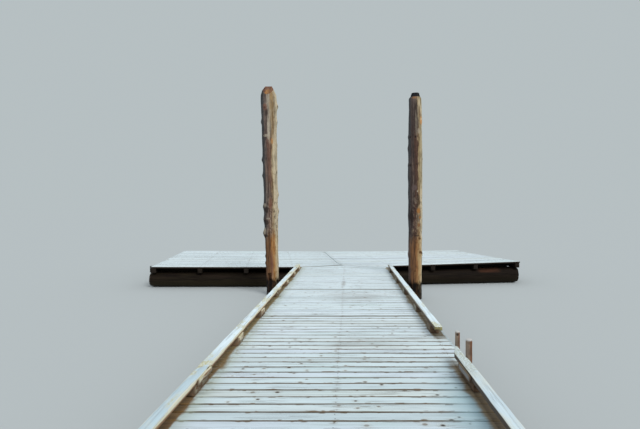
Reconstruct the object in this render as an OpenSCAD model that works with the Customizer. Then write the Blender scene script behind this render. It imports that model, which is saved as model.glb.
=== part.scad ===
// Floating log jetty: three walkway bays lead from the shore to a head of two log rafts.
// X runs across the walkway, Y out over the lake, Z up. The modules place things from the middle
// of the shore end at the level of the float logs' undersides. placed() then moves the origin to
// the middle of the whole jetty at that level.

/* [Levels] */
// Height of the deck surface above the undersides of the float logs
deck_top = 540; // [500:5:620]
// Thickness of every deck board
board_t = 38; // [28:1:50]
// Width of every deck board
board_w = 140; // [120:5:160]

/* [Walkway] */
// Length of the deck boards across the walkway
deck_w = 2440; // [2000:20:3000]
// Boards on each bay
bay_boards = 41; // [30:1:50]
// Gap between boards on the shore bay and the near bay
wide_gap = 9; // [4:1:14]
// Gap between boards on the far bay and on the head
tight_gap = 6; // [3:1:14]
// Gap from one bay to the next
bay_joint = 26; // [10:2:60]
// Height of the stringers, the headers and the sleepers
timber_h = 89; // [70:1:110]
// Width of a stringer
stringer_w = 89; // [60:1:120]
// Width of a sleeper
sleeper_w = 114; // [90:2:140]
// Sleepers under each bay
bay_sleepers = 5; // [3:1:7]
// Diameter of the logs that float a bay
bay_log_d = 340; // [325:5:380]

/* [Rails] */
// Width of a rail plank
rail_w = 90; // [80:5:140]
// Thickness of a rail plank
rail_t = 45; // [38:1:60]
// Height of the blocks that carry the rails
block_h = 87; // [60:1:120]
// Length of the blocks
block_len = 290; // [100:10:400]
// How far the blocks stick out on the inner side of the rail planks
block_lip = 10; // [0:1:60]
// Length of the cleats that tie two planks of a rail together, and of the blocks behind them
cleat_len = 410; // [200:10:500]
// Height of the cleats
cleat_h = 50; // [30:1:60]
// Thickness of the cleats
cleat_t = 15; // [10:1:40]
// Inset of the left rail from the ends of the deck boards
left_rail_inset = 57; // [0:1:120]
// Inset of the right rail from the ends of the deck boards
right_rail_inset = 72; // [0:1:120]

/* [Head] */
// Length of the deck boards of a raft
raft_w = 4876; // [4000:10:5400]
// Boards on each raft
raft_boards = 33; // [20:1:40]
// Width of a raft's cross beams
beam_w = 114; // [90:2:140]
// Height of a raft's cross beams
beam_h = 120; // [90:5:130]
// Cross beams in each raft
raft_beams = 5; // [3:1:7]
// Diameter of the logs that float a raft
raft_log_d = 400; // [385:5:440]
// Gap between the two rafts at the walkway
raft_joint = 20; // [16:1:60]
// Angle by which the left raft has racked out of square
left_rack = 8.2; // [0:0.2:12]
// Angle by which the right raft has swung round
right_swing = 8.2; // [0:0.2:12]

/* [Piles] */
// Height of the left pile
left_pile_h = 4870; // [4000:10:6000]
// Lean of the left pile towards the left
left_pile_lean = 1.2; // [0:0.1:3]
// Height of the right pile
right_pile_h = 4590; // [4000:10:6000]
// Diameter of the near edge post
near_post_d = 66; // [50:1:90]
// Diameter of the far edge post
far_post_d = 52; // [40:1:80]
// Height of the near edge post above the deck
near_post_rise = 164; // [80:1:300]
// Height of the far edge post above the deck
far_post_rise = 120; // [80:1:300]

/* [Hidden] */

weathered = "#cfd8dc";
rail_grey = "#c9cfc4";
framing = "#8d8272";
log_brown = "#5a463a";
pile_brown = "#8a6a4c";
post_brown = "#7a5f52";

$fn = 48;
eps = 1;

// Levels, from the deck down to the logs
board_z = deck_top - board_t;
stringer_z = board_z - timber_h;
sleeper_z = stringer_z - timber_h;
beam_z = board_z - beam_h;
header_t = 38;

// Bays, counted from the shore: where each one starts and how long it is. In the far bay the boards
// from seam_board on have drawn apart from the others.
gaps = [wide_gap, wide_gap, tight_gap];
seam_board = 16;
seams = [0, 0, 10];
function bay_len(i) = bay_boards * (board_w + gaps[i]) - gaps[i] + seams[i];
function bay_start(i) = i == 0 ? 0 : bay_start(i - 1) + bay_len(i - 1) + bay_joint;
log_x = 850;
stringer_x = 1090;
log_setback = 70;
sleeper_setback = 420;
log_end_len = 90;
log_end_r = 120;

// Rails stand on blocks above the deck. Their outer faces lie at left_face and right_face.
block_z = deck_top;
rail_z = deck_top + block_h;
left_face = -deck_w / 2 + left_rail_inset;
right_face = deck_w / 2 - right_rail_inset;
rail_start = 120;
rail_end = 17700;
rail_butt = 4;
left_joints = [4700, 9580, 14096];
right_joint = 4696;
right_gap_end = 11030;
left_block_y = [300, 1750, 3200, 6300, 7900, 10845, 12270, 15090, 16400, 17450];
left_cleat_y = [4640, 9450, 13950];
right_block_y = [300, 1750, 3200, 6300, 7900, 11400, 12650, 14150, 15550, 17200];
right_cleat_y = [4640, 9545];
cleat_block_inset = 15;
cleat_z = rail_z - 15;

// Head: the near corners where the two rafts meet, and how deep a raft is. The right raft lies
// right_step further out than the left one.
right_step = 115;
left_corner = [-70, 18300];
right_corner = left_corner + [raft_joint - right_step * tan(left_rack), right_step];
raft_pitch = board_w + tight_gap;
raft_depth = raft_boards * raft_pitch - tight_gap;
raft_log_v = [230, raft_depth / 2, raft_depth - 230];
beam_inset = 15;
log_gap = 10;
beam_setback = 12;

// Two filler boards close the wedge between the walkway's end and the right raft. They lie on the
// raft's first beams, which reach forward to beam_front for them.
walk_end = bay_start(2) + bay_len(2);
filler_gap = 8;
filler_x = [left_corner[0] + 16, left_corner[0] + 50];
filler_y = [walk_end + filler_gap, walk_end + 2 * filler_gap - 2 + board_w];
beam_front = walk_end + 22;
filler_beams = 2;

// Piles and posts: where they stand, and the half width of the block that trims a pile's foot level
left_pile_at = [-1670, 17250];
right_pile_at = [1590, 16700];
near_post_at = [1280, 10350];
far_post_at = [1280, 10870];
foot_trim = 400;
stub_tilt = 62;

// Extent of the whole jetty in plan, which its racked and swung rafts set
left_end = left_corner[0] - raft_w - (raft_boards - 0.5) * raft_pitch * tan(left_rack);
right_end = right_corner[0] + raft_w * cos(right_swing);
lake_end = right_corner[1] + raft_w * sin(right_swing) + raft_depth * cos(right_swing);

module placed() {
    translate([-(left_end + right_end) / 2, -lake_end / 2, 0])
        children();
}

// One tree trunk lying along X: its ends are axed to a blunt taper
module log(length, d) {
    r = d / 2;
    rotate([0, 90, 0])
        rotate_extrude()
            polygon([
                [0, 0], [log_end_r, 0], [r, log_end_len],
                [r, length - log_end_len], [log_end_r, length], [0, length]
            ]);
}

// Deck boards of one bay, side by side across the walkway
module bay_deck(i) {
    color(weathered)
        for (k = [0 : bay_boards - 1])
            translate([
                -deck_w / 2, bay_start(i) + k * (board_w + gaps[i]) + (k < seam_board ? 0 : seams[i]),
                board_z
            ])
                cube([deck_w, board_w, board_t]);
}

// Three stringers carry the boards lengthwise, from header to header
module bay_stringers(i) {
    color(framing)
        for (x = [-stringer_x, 0, stringer_x])
            translate([x - stringer_w / 2, bay_start(i) + header_t, stringer_z])
                cube([stringer_w, bay_len(i) - 2 * header_t, timber_h]);
}

// A header closes each end of a bay
module bay_headers(i) {
    color(framing)
        for (y = [0, bay_len(i) - header_t])
            translate([-stringer_x - stringer_w / 2, bay_start(i) + y, stringer_z])
                cube([2 * stringer_x + stringer_w, header_t, timber_h]);
}

function sleeper_y(i, k) = bay_start(i) + sleeper_setback
    + k * (bay_len(i) - 2 * sleeper_setback - sleeper_w) / (bay_sleepers - 1);

// Sleepers lie across the logs and under the stringers
module bay_sleeper_set(i) {
    color(framing)
        for (k = [0 : bay_sleepers - 1])
            translate([-stringer_x - stringer_w / 2, sleeper_y(i, k), sleeper_z])
                cube([2 * stringer_x + stringer_w, sleeper_w, timber_h]);
}

// Three logs float a bay, each one notched flat where a sleeper seats
module bay_logs(i) {
    color(log_brown)
        difference() {
            for (x = [-log_x, 0, log_x])
                translate([x, bay_start(i) + log_setback, bay_log_d / 2])
                    rotate([0, 0, 90])
                        log(bay_len(i) - 2 * log_setback, bay_log_d);
            for (k = [0 : bay_sleepers - 1])
                translate([-deck_w / 2, sleeper_y(i, k), sleeper_z])
                    cube([deck_w, sleeper_w, bay_log_d]);
        }
}

// Where a rail plank starts in X, on the left (side -1) or the right (side 1) of the walkway
function rail_low(side) = side < 0 ? left_face : right_face - rail_w;

// A rail plank from y0 to y1
module rail(side, y0, y1) {
    color(rail_grey)
        translate([rail_low(side), y0, rail_z])
            cube([rail_w, y1 - y0, rail_t]);
}

// Blocks of one length under a rail: their middles in Y, and how far they stick out inwards
module blocks(side, places, len, lip) {
    for (y = places)
        translate([rail_low(side) - (side < 0 ? 0 : lip), y - len / 2, block_z])
            cube([rail_w + lip, len, block_h]);
}

// Cleats are nailed to the inner side of a rail, a little lower than its top
module cleats(side, places) {
    for (y = places)
        translate([rail_low(side) + (side < 0 ? rail_w : -cleat_t), y - cleat_len / 2, cleat_z])
            cube([cleat_t, cleat_len, cleat_h]);
}

// A block behind a cleat stands back from it under the rail
module rail_blocks(side, places, cleat_places) {
    color(rail_grey) {
        blocks(side, places, block_len, block_lip);
        blocks(side, cleat_places, cleat_len, -cleat_block_inset);
        cleats(side, cleat_places);
    }
}

// The plank beside the gap in the right rail has rotted to a slanting point
module right_rail_near() {
    inner = right_face - rail_w;
    start = right_joint + rail_butt;
    color(rail_grey)
        translate([0, 0, rail_z])
            linear_extrude(rail_t)
                polygon([
                    [inner, start], [right_face, start],
                    [right_face, 9800], [right_face - 13, 9880],
                    [right_face - 11, 10190], [right_face - 30, 10225],
                    [inner + 10, 10040], [inner, 9990]
                ]);
}

// The left raft has racked: its boards step sideways one after the other
module left_raft_boards() {
    color(weathered)
        for (k = [0 : raft_boards - 1])
            translate([
                left_corner[0] - raft_w - (k + 0.5) * raft_pitch * tan(left_rack),
                left_corner[1] + k * raft_pitch, board_z
            ])
                cube([raft_w, board_w, board_t]);
}

function beam_u(k) = beam_inset + k * (raft_w - 2 * beam_inset - beam_w) / (raft_beams - 1);

// Places its children in the left raft, u to the left of the corner and along the racked side
module on_left_raft(u) {
    translate([left_corner[0] - u, left_corner[1], 0])
        rotate([0, 0, left_rack])
            children();
}

module left_raft_beams() {
    color(framing)
        for (k = [0 : raft_beams - 1])
            on_left_raft(beam_u(k))
                translate([-beam_w, beam_setback, beam_z])
                    cube([beam_w, raft_depth / cos(left_rack) - 2 * beam_setback, beam_h]);
}

// A raft log lies along X at depth v, notched flat where a cross beam seats. Its left tip
// reaches past the deck boards by reach.
module left_raft_log(v, reach) {
    color(log_brown)
        difference() {
            translate([
                left_corner[0] - raft_w - reach - v * tan(left_rack), left_corner[1] + v, raft_log_d / 2
            ])
                log(raft_w + reach - log_gap, raft_log_d);
            for (k = [0 : raft_beams - 1])
                on_left_raft(beam_u(k))
                    translate([-beam_w, -eps, beam_z])
                        cube([beam_w, raft_depth * 1.2, raft_log_d]);
        }
}

// Places its children in the right raft, with u along its boards and v across them
module on_right_raft() {
    translate([right_corner[0], right_corner[1], 0])
        rotate([0, 0, right_swing])
            children();
}

// Near edge of the right raft's deck at x, less the gap beside the filler boards
function raft_edge(x) = right_corner[1] + (x - right_corner[0]) * tan(right_swing)
    - filler_gap / cos(right_swing);

// One filler board is whole. The other is ripped to a taper along the raft's edge.
module filler_boards() {
    right = deck_w / 2;
    translate([filler_x[0], filler_y[0], board_z])
        cube([right - filler_x[0], board_w, board_t]);
    translate([0, 0, board_z])
        linear_extrude(board_t)
            polygon([
                [filler_x[1], filler_y[1]], [right, filler_y[1]],
                [right, raft_edge(right)], [filler_x[1], raft_edge(filler_x[1])]
            ]);
}

module right_raft_boards() {
    color(weathered) {
        on_right_raft()
            for (k = [0 : raft_boards - 1])
                translate([0, k * raft_pitch, board_z])
                    cube([raft_w, board_w, board_t]);
        filler_boards();
    }
}

// How far beam k of the right raft starts behind the raft's edge: the first ones reach forward
function right_beam_start(k) = k < filler_beams
    ? (beam_front - right_corner[1] - beam_u(k) * sin(right_swing)) / cos(right_swing)
    : beam_setback;

module right_raft_beams() {
    color(framing)
        on_right_raft()
            for (k = [0 : raft_beams - 1])
                translate([beam_u(k), right_beam_start(k), beam_z])
                    cube([beam_w, raft_depth - beam_setback - right_beam_start(k), beam_h]);
}

module right_raft_log(v) {
    color(log_brown)
        on_right_raft()
            difference() {
                translate([log_gap, v, raft_log_d / 2])
                    log(raft_w - 2 * log_gap, raft_log_d);
                for (k = [0 : raft_beams - 1])
                    translate([beam_u(k), -eps, beam_z])
                        cube([beam_w, raft_depth + 2 * eps, raft_log_d]);
            }
}

// A standing trunk: its outline gives radius and height from the foot to the top
module trunk(outline, height) {
    rotate_extrude()
        polygon(concat([[0, -100]], [[outline[0][0], -100]], outline, [[0, height]]));
}

// A branch stub that points outwards at angle a and ends at height z
module branch_stub(a, z, reach, d) {
    translate([0, 0, z - reach * cos(stub_tilt)])
        rotate([0, 0, a])
            rotate([0, stub_tilt, 0])
                cylinder(h = reach, d1 = d * 1.3, d2 = d);
}

// What an axe takes off a trunk of radius r and height h on its side a: inset wide on top, depth high
module axe_cut(a, r, h, inset, depth) {
    rotate([0, 0, a])
        translate([r - inset, 0, h])
            rotate([0, -atan2(inset, depth), 0])
                translate([0, -r, -2 * depth])
                    cube([2 * r, 2 * r, 3 * depth]);
}

// What lies below the pile's foot
module below_foot() {
    translate([-foot_trim, -foot_trim, -foot_trim])
        cube([2 * foot_trim, 2 * foot_trim, foot_trim]);
}

// Tall left pile: thicker towards its top, which an axe has hewn from four sides. A pocket is cut low
// in its near side.
module left_pile() {
    top_r = 183;
    color(pile_brown)
        translate(left_pile_at)
            difference() {
                rotate([0, -left_pile_lean, 0])
                    difference() {
                        union() {
                            trunk([
                                [146, 0], [148, 700], [156, 1500], [167, 2400], [170, 3300],
                                [176, 4200], [188, 4420], [top_r, left_pile_h - 190],
                                [top_r, left_pile_h]
                            ], left_pile_h);
                            branch_stub(0, 4390, 240, 66);
                            branch_stub(-12, 4030, 218, 56);
                            branch_stub(184, 4050, 216, 56);
                            branch_stub(190, 3160, 212, 54);
                            branch_stub(-25, 2860, 204, 48);
                            branch_stub(200, 2060, 214, 84);
                            branch_stub(205, 1770, 214, 92);
                            branch_stub(188, 1450, 214, 84);
                        }
                        axe_cut(180, top_r, left_pile_h, 118, 194);
                        axe_cut(0, top_r, left_pile_h, 92, 190);
                        axe_cut(-90, top_r, left_pile_h, 100, 200);
                        axe_cut(90, top_r, left_pile_h, 84, 170);
                    }
                translate([-110, -250, 350])
                    cube([82, 180, 180]);
                below_foot();
            }
}

// Tall right pile: nearly upright, with a bevelled plug left standing on its rounded shoulder
module right_pile() {
    plug_h = 92;
    shoulder = right_pile_h - plug_h;
    color(pile_brown)
        translate(right_pile_at)
            difference() {
                union() {
                    trunk([
                        [144, 0], [146, 900], [152, 1900], [155, 2700], [146, 3600],
                        [141, 4300], [138, shoulder - 50], [126, shoulder - 12], [110, shoulder]
                    ], shoulder);
                    translate([-10, 0, shoulder - eps])
                        cylinder(h = plug_h + eps, r1 = 103, r2 = 71);
                    branch_stub(185, 3610, 172, 40);
                    branch_stub(182, 3350, 182, 54);
                    branch_stub(184, 2980, 182, 44);
                    branch_stub(-30, 1350, 180, 40);
                    branch_stub(-22, 1020, 184, 56);
                    branch_stub(180, 1000, 184, 56);
                }
                below_foot();
            }
}

// A short post beside the deck, cut off round at the top
module edge_post(at, d, top, crown) {
    color(post_brown)
        translate(at)
            rotate_extrude()
                polygon([[0, 0], [d / 2, 0], [d / 2, top - crown], [d / 2 - crown, top], [0, top]]);
}

placed() bay_deck(0);  // shore_bay_boards
placed() bay_deck(1);  // near_bay_boards
placed() bay_deck(2);  // far_bay_boards
placed() bay_stringers(0);  // shore_bay_stringers
placed() bay_stringers(1);  // near_bay_stringers
placed() bay_stringers(2);  // far_bay_stringers
placed() bay_headers(0);  // shore_bay_headers
placed() bay_headers(1);  // near_bay_headers
placed() bay_headers(2);  // far_bay_headers
placed() bay_sleeper_set(0);  // shore_bay_sleepers
placed() bay_sleeper_set(1);  // near_bay_sleepers
placed() bay_sleeper_set(2);  // far_bay_sleepers
placed() bay_logs(0);  // shore_bay_logs
placed() bay_logs(1);  // near_bay_logs
placed() bay_logs(2);  // far_bay_logs
placed() rail(-1, rail_start, left_joints[0]);  // left_rail_shore
placed()  // left_rail_near
    rail(-1, left_joints[0] + rail_butt, left_joints[1]);
placed()  // left_rail_middle
    rail(-1, left_joints[1] + rail_butt, left_joints[2]);
placed() rail(-1, left_joints[2] + rail_butt, rail_end);  // left_rail_far
placed() rail(1, rail_start, right_joint);  // right_rail_shore
placed() right_rail_near();
placed() rail(1, right_gap_end, rail_end);  // right_rail_far
placed()  // left_rail_blocks
    rail_blocks(-1, left_block_y, left_cleat_y);
placed()  // right_rail_blocks
    rail_blocks(1, right_block_y, right_cleat_y);
placed() left_raft_boards();
placed() left_raft_beams();
placed() left_raft_log(raft_log_v[0], 30);  // left_raft_front_log
placed() left_raft_log(raft_log_v[1], -log_gap);  // left_raft_middle_log
placed() left_raft_log(raft_log_v[2], -log_gap);  // left_raft_back_log
placed() right_raft_boards();
placed() right_raft_beams();
placed() right_raft_log(raft_log_v[0]);  // right_raft_front_log
placed() right_raft_log(raft_log_v[1]);  // right_raft_middle_log
placed() right_raft_log(raft_log_v[2]);  // right_raft_back_log
placed() left_pile();
placed() right_pile();
placed()  // near_edge_post
    edge_post(near_post_at, near_post_d, deck_top + near_post_rise, 6);
placed()  // far_edge_post
    edge_post(far_post_at, far_post_d, deck_top + far_post_rise, 14);
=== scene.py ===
"""Finish of a floating log jetty: worn planks, framing, float logs, piles and posts over its frame."""

import functools
import math
import random
import typing

import bmesh
import bpy
import numpy as np
from mathutils import Matrix, Vector, noise


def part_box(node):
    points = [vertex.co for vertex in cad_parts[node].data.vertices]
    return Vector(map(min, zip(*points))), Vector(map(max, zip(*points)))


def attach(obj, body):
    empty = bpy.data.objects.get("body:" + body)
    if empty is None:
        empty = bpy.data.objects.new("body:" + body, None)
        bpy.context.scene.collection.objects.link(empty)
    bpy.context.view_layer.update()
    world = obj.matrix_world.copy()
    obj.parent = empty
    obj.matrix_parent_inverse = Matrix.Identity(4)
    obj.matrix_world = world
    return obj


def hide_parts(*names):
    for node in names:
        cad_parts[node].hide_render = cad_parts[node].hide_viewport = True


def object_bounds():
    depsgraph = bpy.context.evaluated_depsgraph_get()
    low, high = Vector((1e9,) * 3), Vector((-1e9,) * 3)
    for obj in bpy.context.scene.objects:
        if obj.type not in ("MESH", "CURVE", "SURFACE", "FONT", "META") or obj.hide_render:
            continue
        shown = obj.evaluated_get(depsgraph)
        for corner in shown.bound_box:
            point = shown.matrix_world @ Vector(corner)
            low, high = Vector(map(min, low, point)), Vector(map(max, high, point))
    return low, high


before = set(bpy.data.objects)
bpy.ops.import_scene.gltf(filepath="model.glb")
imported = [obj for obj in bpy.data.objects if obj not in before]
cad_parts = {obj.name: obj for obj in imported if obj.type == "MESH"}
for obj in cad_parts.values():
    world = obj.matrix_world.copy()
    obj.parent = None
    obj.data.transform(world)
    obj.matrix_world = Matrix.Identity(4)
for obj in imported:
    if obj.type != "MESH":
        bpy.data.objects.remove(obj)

bl_info = {
    "name": "Floating Log Jetty",
    "version": (1, 0, 0),
    "blender": (4, 5, 0),
    "location": "3D View > Sidebar > Jetty",
    "description": "Dresses the jetty's frame in worn planks, wet float logs and hewn piles",
    "category": "Object",
}

FRAME_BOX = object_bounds()

BAYS = ("shore_bay", "near_bay", "far_bay")
# The rafts, with the way along X in which each reaches outwards
RAFTS = {"left_raft": -1, "right_raft": 1}
RAILS = (
    "left_rail_shore", "left_rail_near", "left_rail_middle", "left_rail_far",
    "right_rail_shore", "right_rail_near", "right_rail_far",
)

# The walkway's middle line and half width, where the head starts, and the ends and inner sides of the rails
DECK_LOW, DECK_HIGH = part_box("near_bay_boards")
WALK_X = (DECK_LOW.x + DECK_HIGH.x) / 2
HALF_DECK = (DECK_HIGH.x - DECK_LOW.x) / 2
HEAD_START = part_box("left_raft_boards")[0].y
LEFT_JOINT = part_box("left_rail_near")[1].y
LEFT_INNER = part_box("left_rail_near")[1].x
RIGHT_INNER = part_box("right_rail_far")[0].x
RIGHT_GAP = (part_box("right_rail_near")[1].y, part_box("right_rail_far")[0].y)
RAIL_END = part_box("left_rail_far")[1].y
POST_SPLIT = (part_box("near_edge_post")[1].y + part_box("far_edge_post")[0].y) / 2

# How the head has settled: the height of its logs, how far a raft reaches, how gradually the head starts,
# the joint of the two rafts, and the height and the reach of the hump there
LOG_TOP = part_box("left_raft_front_log")[1].z
RAFT_REACH = 4.85
HEAD_EASE = 0.15
JOINT_X = WALK_X - 0.07
HUMP = 0.042
HUMP_REACH = 0.42

# Rise of the right raft along its front and its back: at the joint, more towards its outer side, and a curl
# in front at the very end. Then how far the left raft sags in front, and how far its back has risen
FRONT_SUNK, FRONT_SLOPE, FRONT_CURL = -0.024, 0.072, 0.02
BACK_SUNK, BACK_SLOPE = -0.014, 0.004
LEFT_SAG = 0.04
LEFT_BACK = 0.03

# How many of a raft's first boards show their front, which is painted as shade, how much wider than usual a
# gap must be to get a dark seam of dirt and painted shade, and half the width of these seams on the walkway
# and where it meets the head
OPEN_FRONTS = 3
WIDER_BY = 0.005
SEAM_HALF = 0.026
HEAD_SEAM_HALF = 0.07

# The share of the nails that have gone, how far a board's nails are shifted along it, how far one nail
# strays along and across, and how far litter lies under a rail
LOST_NAILS = 0.12
NAIL_SHIFT = 0.02
NAIL_STRAY = (0.004, 0.005)
UNDER_RAIL = 0.03

# The rafts' packing boards: thickness, distance behind the front log's middle, room at the ends, how much
# higher than the beams they are, how far below the beams their middle lies, and the tone of their wood
PACKING = 0.03
PACKING_BACK = 0.28
PACKING_ROOM = 0.004
PACKING_HIGHER = 0.05
PACKING_BELOW = 0.027
PACKING_TONE = (0.4, 0.5, 0.6)

# How far a notch in a log reaches beyond the timber that it holds, how far from its ends a log gets blunt,
# and the share of its radius that it loses there
SEAT_ROOM = 0.002
BLUNT_REACH = 0.09
BLUNT_SHARE = 0.09

# The shares of the waves that a timber wanders in, the longest wave of its edges and of its faces, the power
# that keeps the wear of its ends close to them, and the waves round and up a trunk that roughen it
WAVE_SHARES = (1.0, 0.47, 0.21)
EDGE_WAVE = 0.9
FACE_WAVE = 1.7
END_POWER = 12
TRUNK_WAVES = ((1.3, 0.7), (2.6, 3.2), (6.5, 0.9), (15, 9))

# For the materials: what sets one timber's grain apart from another's, the radius at which the piles' grain
# is drawn, how softly the piles' zones end, the hole in an edge post, painted as shade, from the middle of
# its top, nail colours
TONE_SHIFT = (41, 67, 23)
PILE_GRAIN = 0.165
ZONE_FADE = 0.15
POST_HOLE = (-0.006, -0.03, -0.034)
IRON = (0.045, 0.04, 0.042)
RUST = (0.12, 0.06, 0.035)

# Brown stains on the walkway: strength, place across, place along, half width and half length
WALK_STAINS = (
    (0.50, 0.74, -1.15, 0.62, 0.36),
    (0.42, 0.60, 1.75, 0.60, 0.60),
    (0.75, 0.44, 3.35, 0.06, 0.40),
)


def metres(name, description, default):
    return bpy.props.FloatProperty(
        name=name, description=description, default=default, precision=4, unit="LENGTH"
    )


def colour(name, description, default):
    return bpy.props.FloatVectorProperty(
        name=name, description=description, default=default, size=3, min=0, max=1, subtype="COLOR"
    )


def amount(name, description, default):
    return bpy.props.FloatProperty(name=name, description=description, default=default, min=0)


WEAR_TEXTS = {
    "edge": ("Eased edge", "Radius to which the edges have worn"),
    "bow": ("Bow", "Most that a timber bends sideways"),
    "twist": ("Twist", "Most that a corner lifts"),
    "cup": ("Cup", "Most that the long edges curl up"),
    "ripple": ("Ripple", "How far edges and faces wander"),
    "drop": ("Drop", "Most that a timber lies lower than its neighbours"),
    "end_loss": ("End loss", "Most that an end falls short of the cut line"),
    "ring_gap": ("Ring spacing", "Distance between the rings that a timber bends at"),
}


def wear_settings(**defaults):
    """The properties that boards, rails and framing share, each with its own default."""
    return {name: metres(*WEAR_TEXTS[name], value) for name, value in defaults.items()}


class JettyBoards(bpy.types.PropertyGroup):
    """Wear and colours of the deck boards"""

    __annotations__ = wear_settings(
        edge=0.0045, bow=0.0018, twist=0.0015, cup=0.0012, ripple=0.0012,
        drop=0.002, end_loss=0.012, ring_gap=0.07,
    )
    nail_radius: metres("Nail head", "Radius of the nail heads", 0.0045)
    nail_inset: metres("Nail inset", "Distance of the nails from the board's middle line", 0.041)
    pale: colour("Pale", "Bleached faces", (0.69, 0.825, 0.875))
    dull: colour("Dull", "Greyer boards and streaks", (0.47, 0.575, 0.62))
    # Bleached: the paler outer decks, a painted sheen that stands for the grazing reflection on far boards
    bleached: colour("Bleached", "Boards of the outer decks", (0.80, 0.90, 0.95))
    cream: colour("Cream", "Warm tint of some boards", (0.73, 0.79, 0.76))
    lilac: colour("Lilac", "Cool tint of some boards", (0.66, 0.73, 0.86))
    algae: colour("Algae", "Faint green film", (0.50, 0.69, 0.66))
    # Seam: brown stains beside the gaps, and also the painted shade on the boards' sides in the gaps and in
    # the dark seams
    seam: colour("Seam", "Stained edges beside the gaps", (0.100, 0.066, 0.028))
    knot: colour("Knot", "Knots and nail stains", (0.17, 0.125, 0.085))
    heart: colour("Knot heart", "Dark hearts of some knots", (0.025, 0.020, 0.018))
    dirt: colour("Dirt", "Litter beside the rails", (0.18, 0.097, 0.030))
    # Soil: dirt with painted shade, near black, under the rails, on the boards' lower sides and on the raft
    # fronts
    soil_and_shade: colour("Soil", "Dark corners under the decks and the rails", (0.016, 0.010, 0.007))
    moss: colour("Moss", "Olive litter beside the far rails", (0.24, 0.18, 0.065))
    film: colour("Film", "Green film beside the left rail", (0.46, 0.55, 0.45))
    # Darker, bluer boards beside the near right rail: partly wet wood, partly painted shade
    damp: colour("Damp", "Damp boards beside the near right rail", (0.31, 0.47, 0.54))


class JettyRails(bpy.types.PropertyGroup):
    """Wear and colours of the rail planks and their blocks"""

    __annotations__ = wear_settings(
        edge=0.006, bow=0.004, twist=0.002, cup=0.001, ripple=0.002,
        drop=0.0, end_loss=0.004, ring_gap=0.06,
    )
    pale: colour("Pale", "Bleached top", (0.51, 0.655, 0.73))
    white: colour("White", "Whitest planks, towards the head", (0.78, 0.92, 0.99))
    dull: colour("Dull", "Greyer streaks", (0.47, 0.55, 0.60))
    cream: colour("Cream", "Edges rubbed to cream", (0.74, 0.71, 0.55))
    beige: colour("Beige", "Mottled top of the rotted end", (0.42, 0.46, 0.40))
    tan: colour("Tan", "Lower part of the sunny sides", (0.34, 0.19, 0.10))
    lichen: colour("Lichen", "Yellow olive lichen", (0.48, 0.45, 0.20))
    mauve: colour("Mauve", "Grey face of the shaded cleats", (0.25, 0.245, 0.24))
    shade: colour("Shade", "Damp shaded sides and cracks", (0.070, 0.043, 0.027))
    sawn: colour("Sawn", "Sawn ends of the blocks", (0.20, 0.13, 0.078))
    # Brown of the blocks along the right rail, darkened as painted shade
    shaded_earth: colour("Earth", "Damp blocks beside the right rail", (0.13, 0.087, 0.052))


class JettyFraming(bpy.types.PropertyGroup):
    """Wear and colours of stringers, headers, sleepers and cross beams"""

    __annotations__ = wear_settings(
        edge=0.005, bow=0.003, twist=0.0, cup=0.0, ripple=0.0015,
        drop=0.0, end_loss=0.002, ring_gap=0.1,
    )
    # The framing's colours are darkened far below the wood's own, as painted shade under the decks
    damp: colour("Damp", "Damp sawn faces", (0.012, 0.009, 0.007))
    dry: colour("Dry", "Drier streaks", (0.030, 0.022, 0.016))
    end_grain: colour("End grain", "Sawn ends that the light reaches", (0.024, 0.019, 0.016))


class JettyLogs(bpy.types.PropertyGroup):
    """Shape and colours of the float logs"""

    ring_gap: metres("Ring spacing", "Distance between the rings round a log", 0.055)
    around: bpy.props.IntProperty(name="Sides", description="Vertices round a log", default=44, min=12)
    hollow: metres("Hollows", "Depth of the hollows and cracks in a log", 0.012)
    # The logs' colours are darkened far below the wood's own, as painted shade under the decks
    wood: colour("Wood", "Drier upper side", (0.007, 0.004, 0.003))
    grey: colour("Grey", "Worn ridges", (0.020, 0.012, 0.008))
    slime: colour("Slime", "Wet olive underside", (0.026, 0.020, 0.009))
    cut: colour("Cut end", "Axed and sawn ends", (0.040, 0.027, 0.017))
    # A red brown pool of painted light on the right raft's front log
    ruddy_light: colour("Ruddy", "Red brown patch on the right raft's front log", (0.10, 0.035, 0.018))


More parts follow.
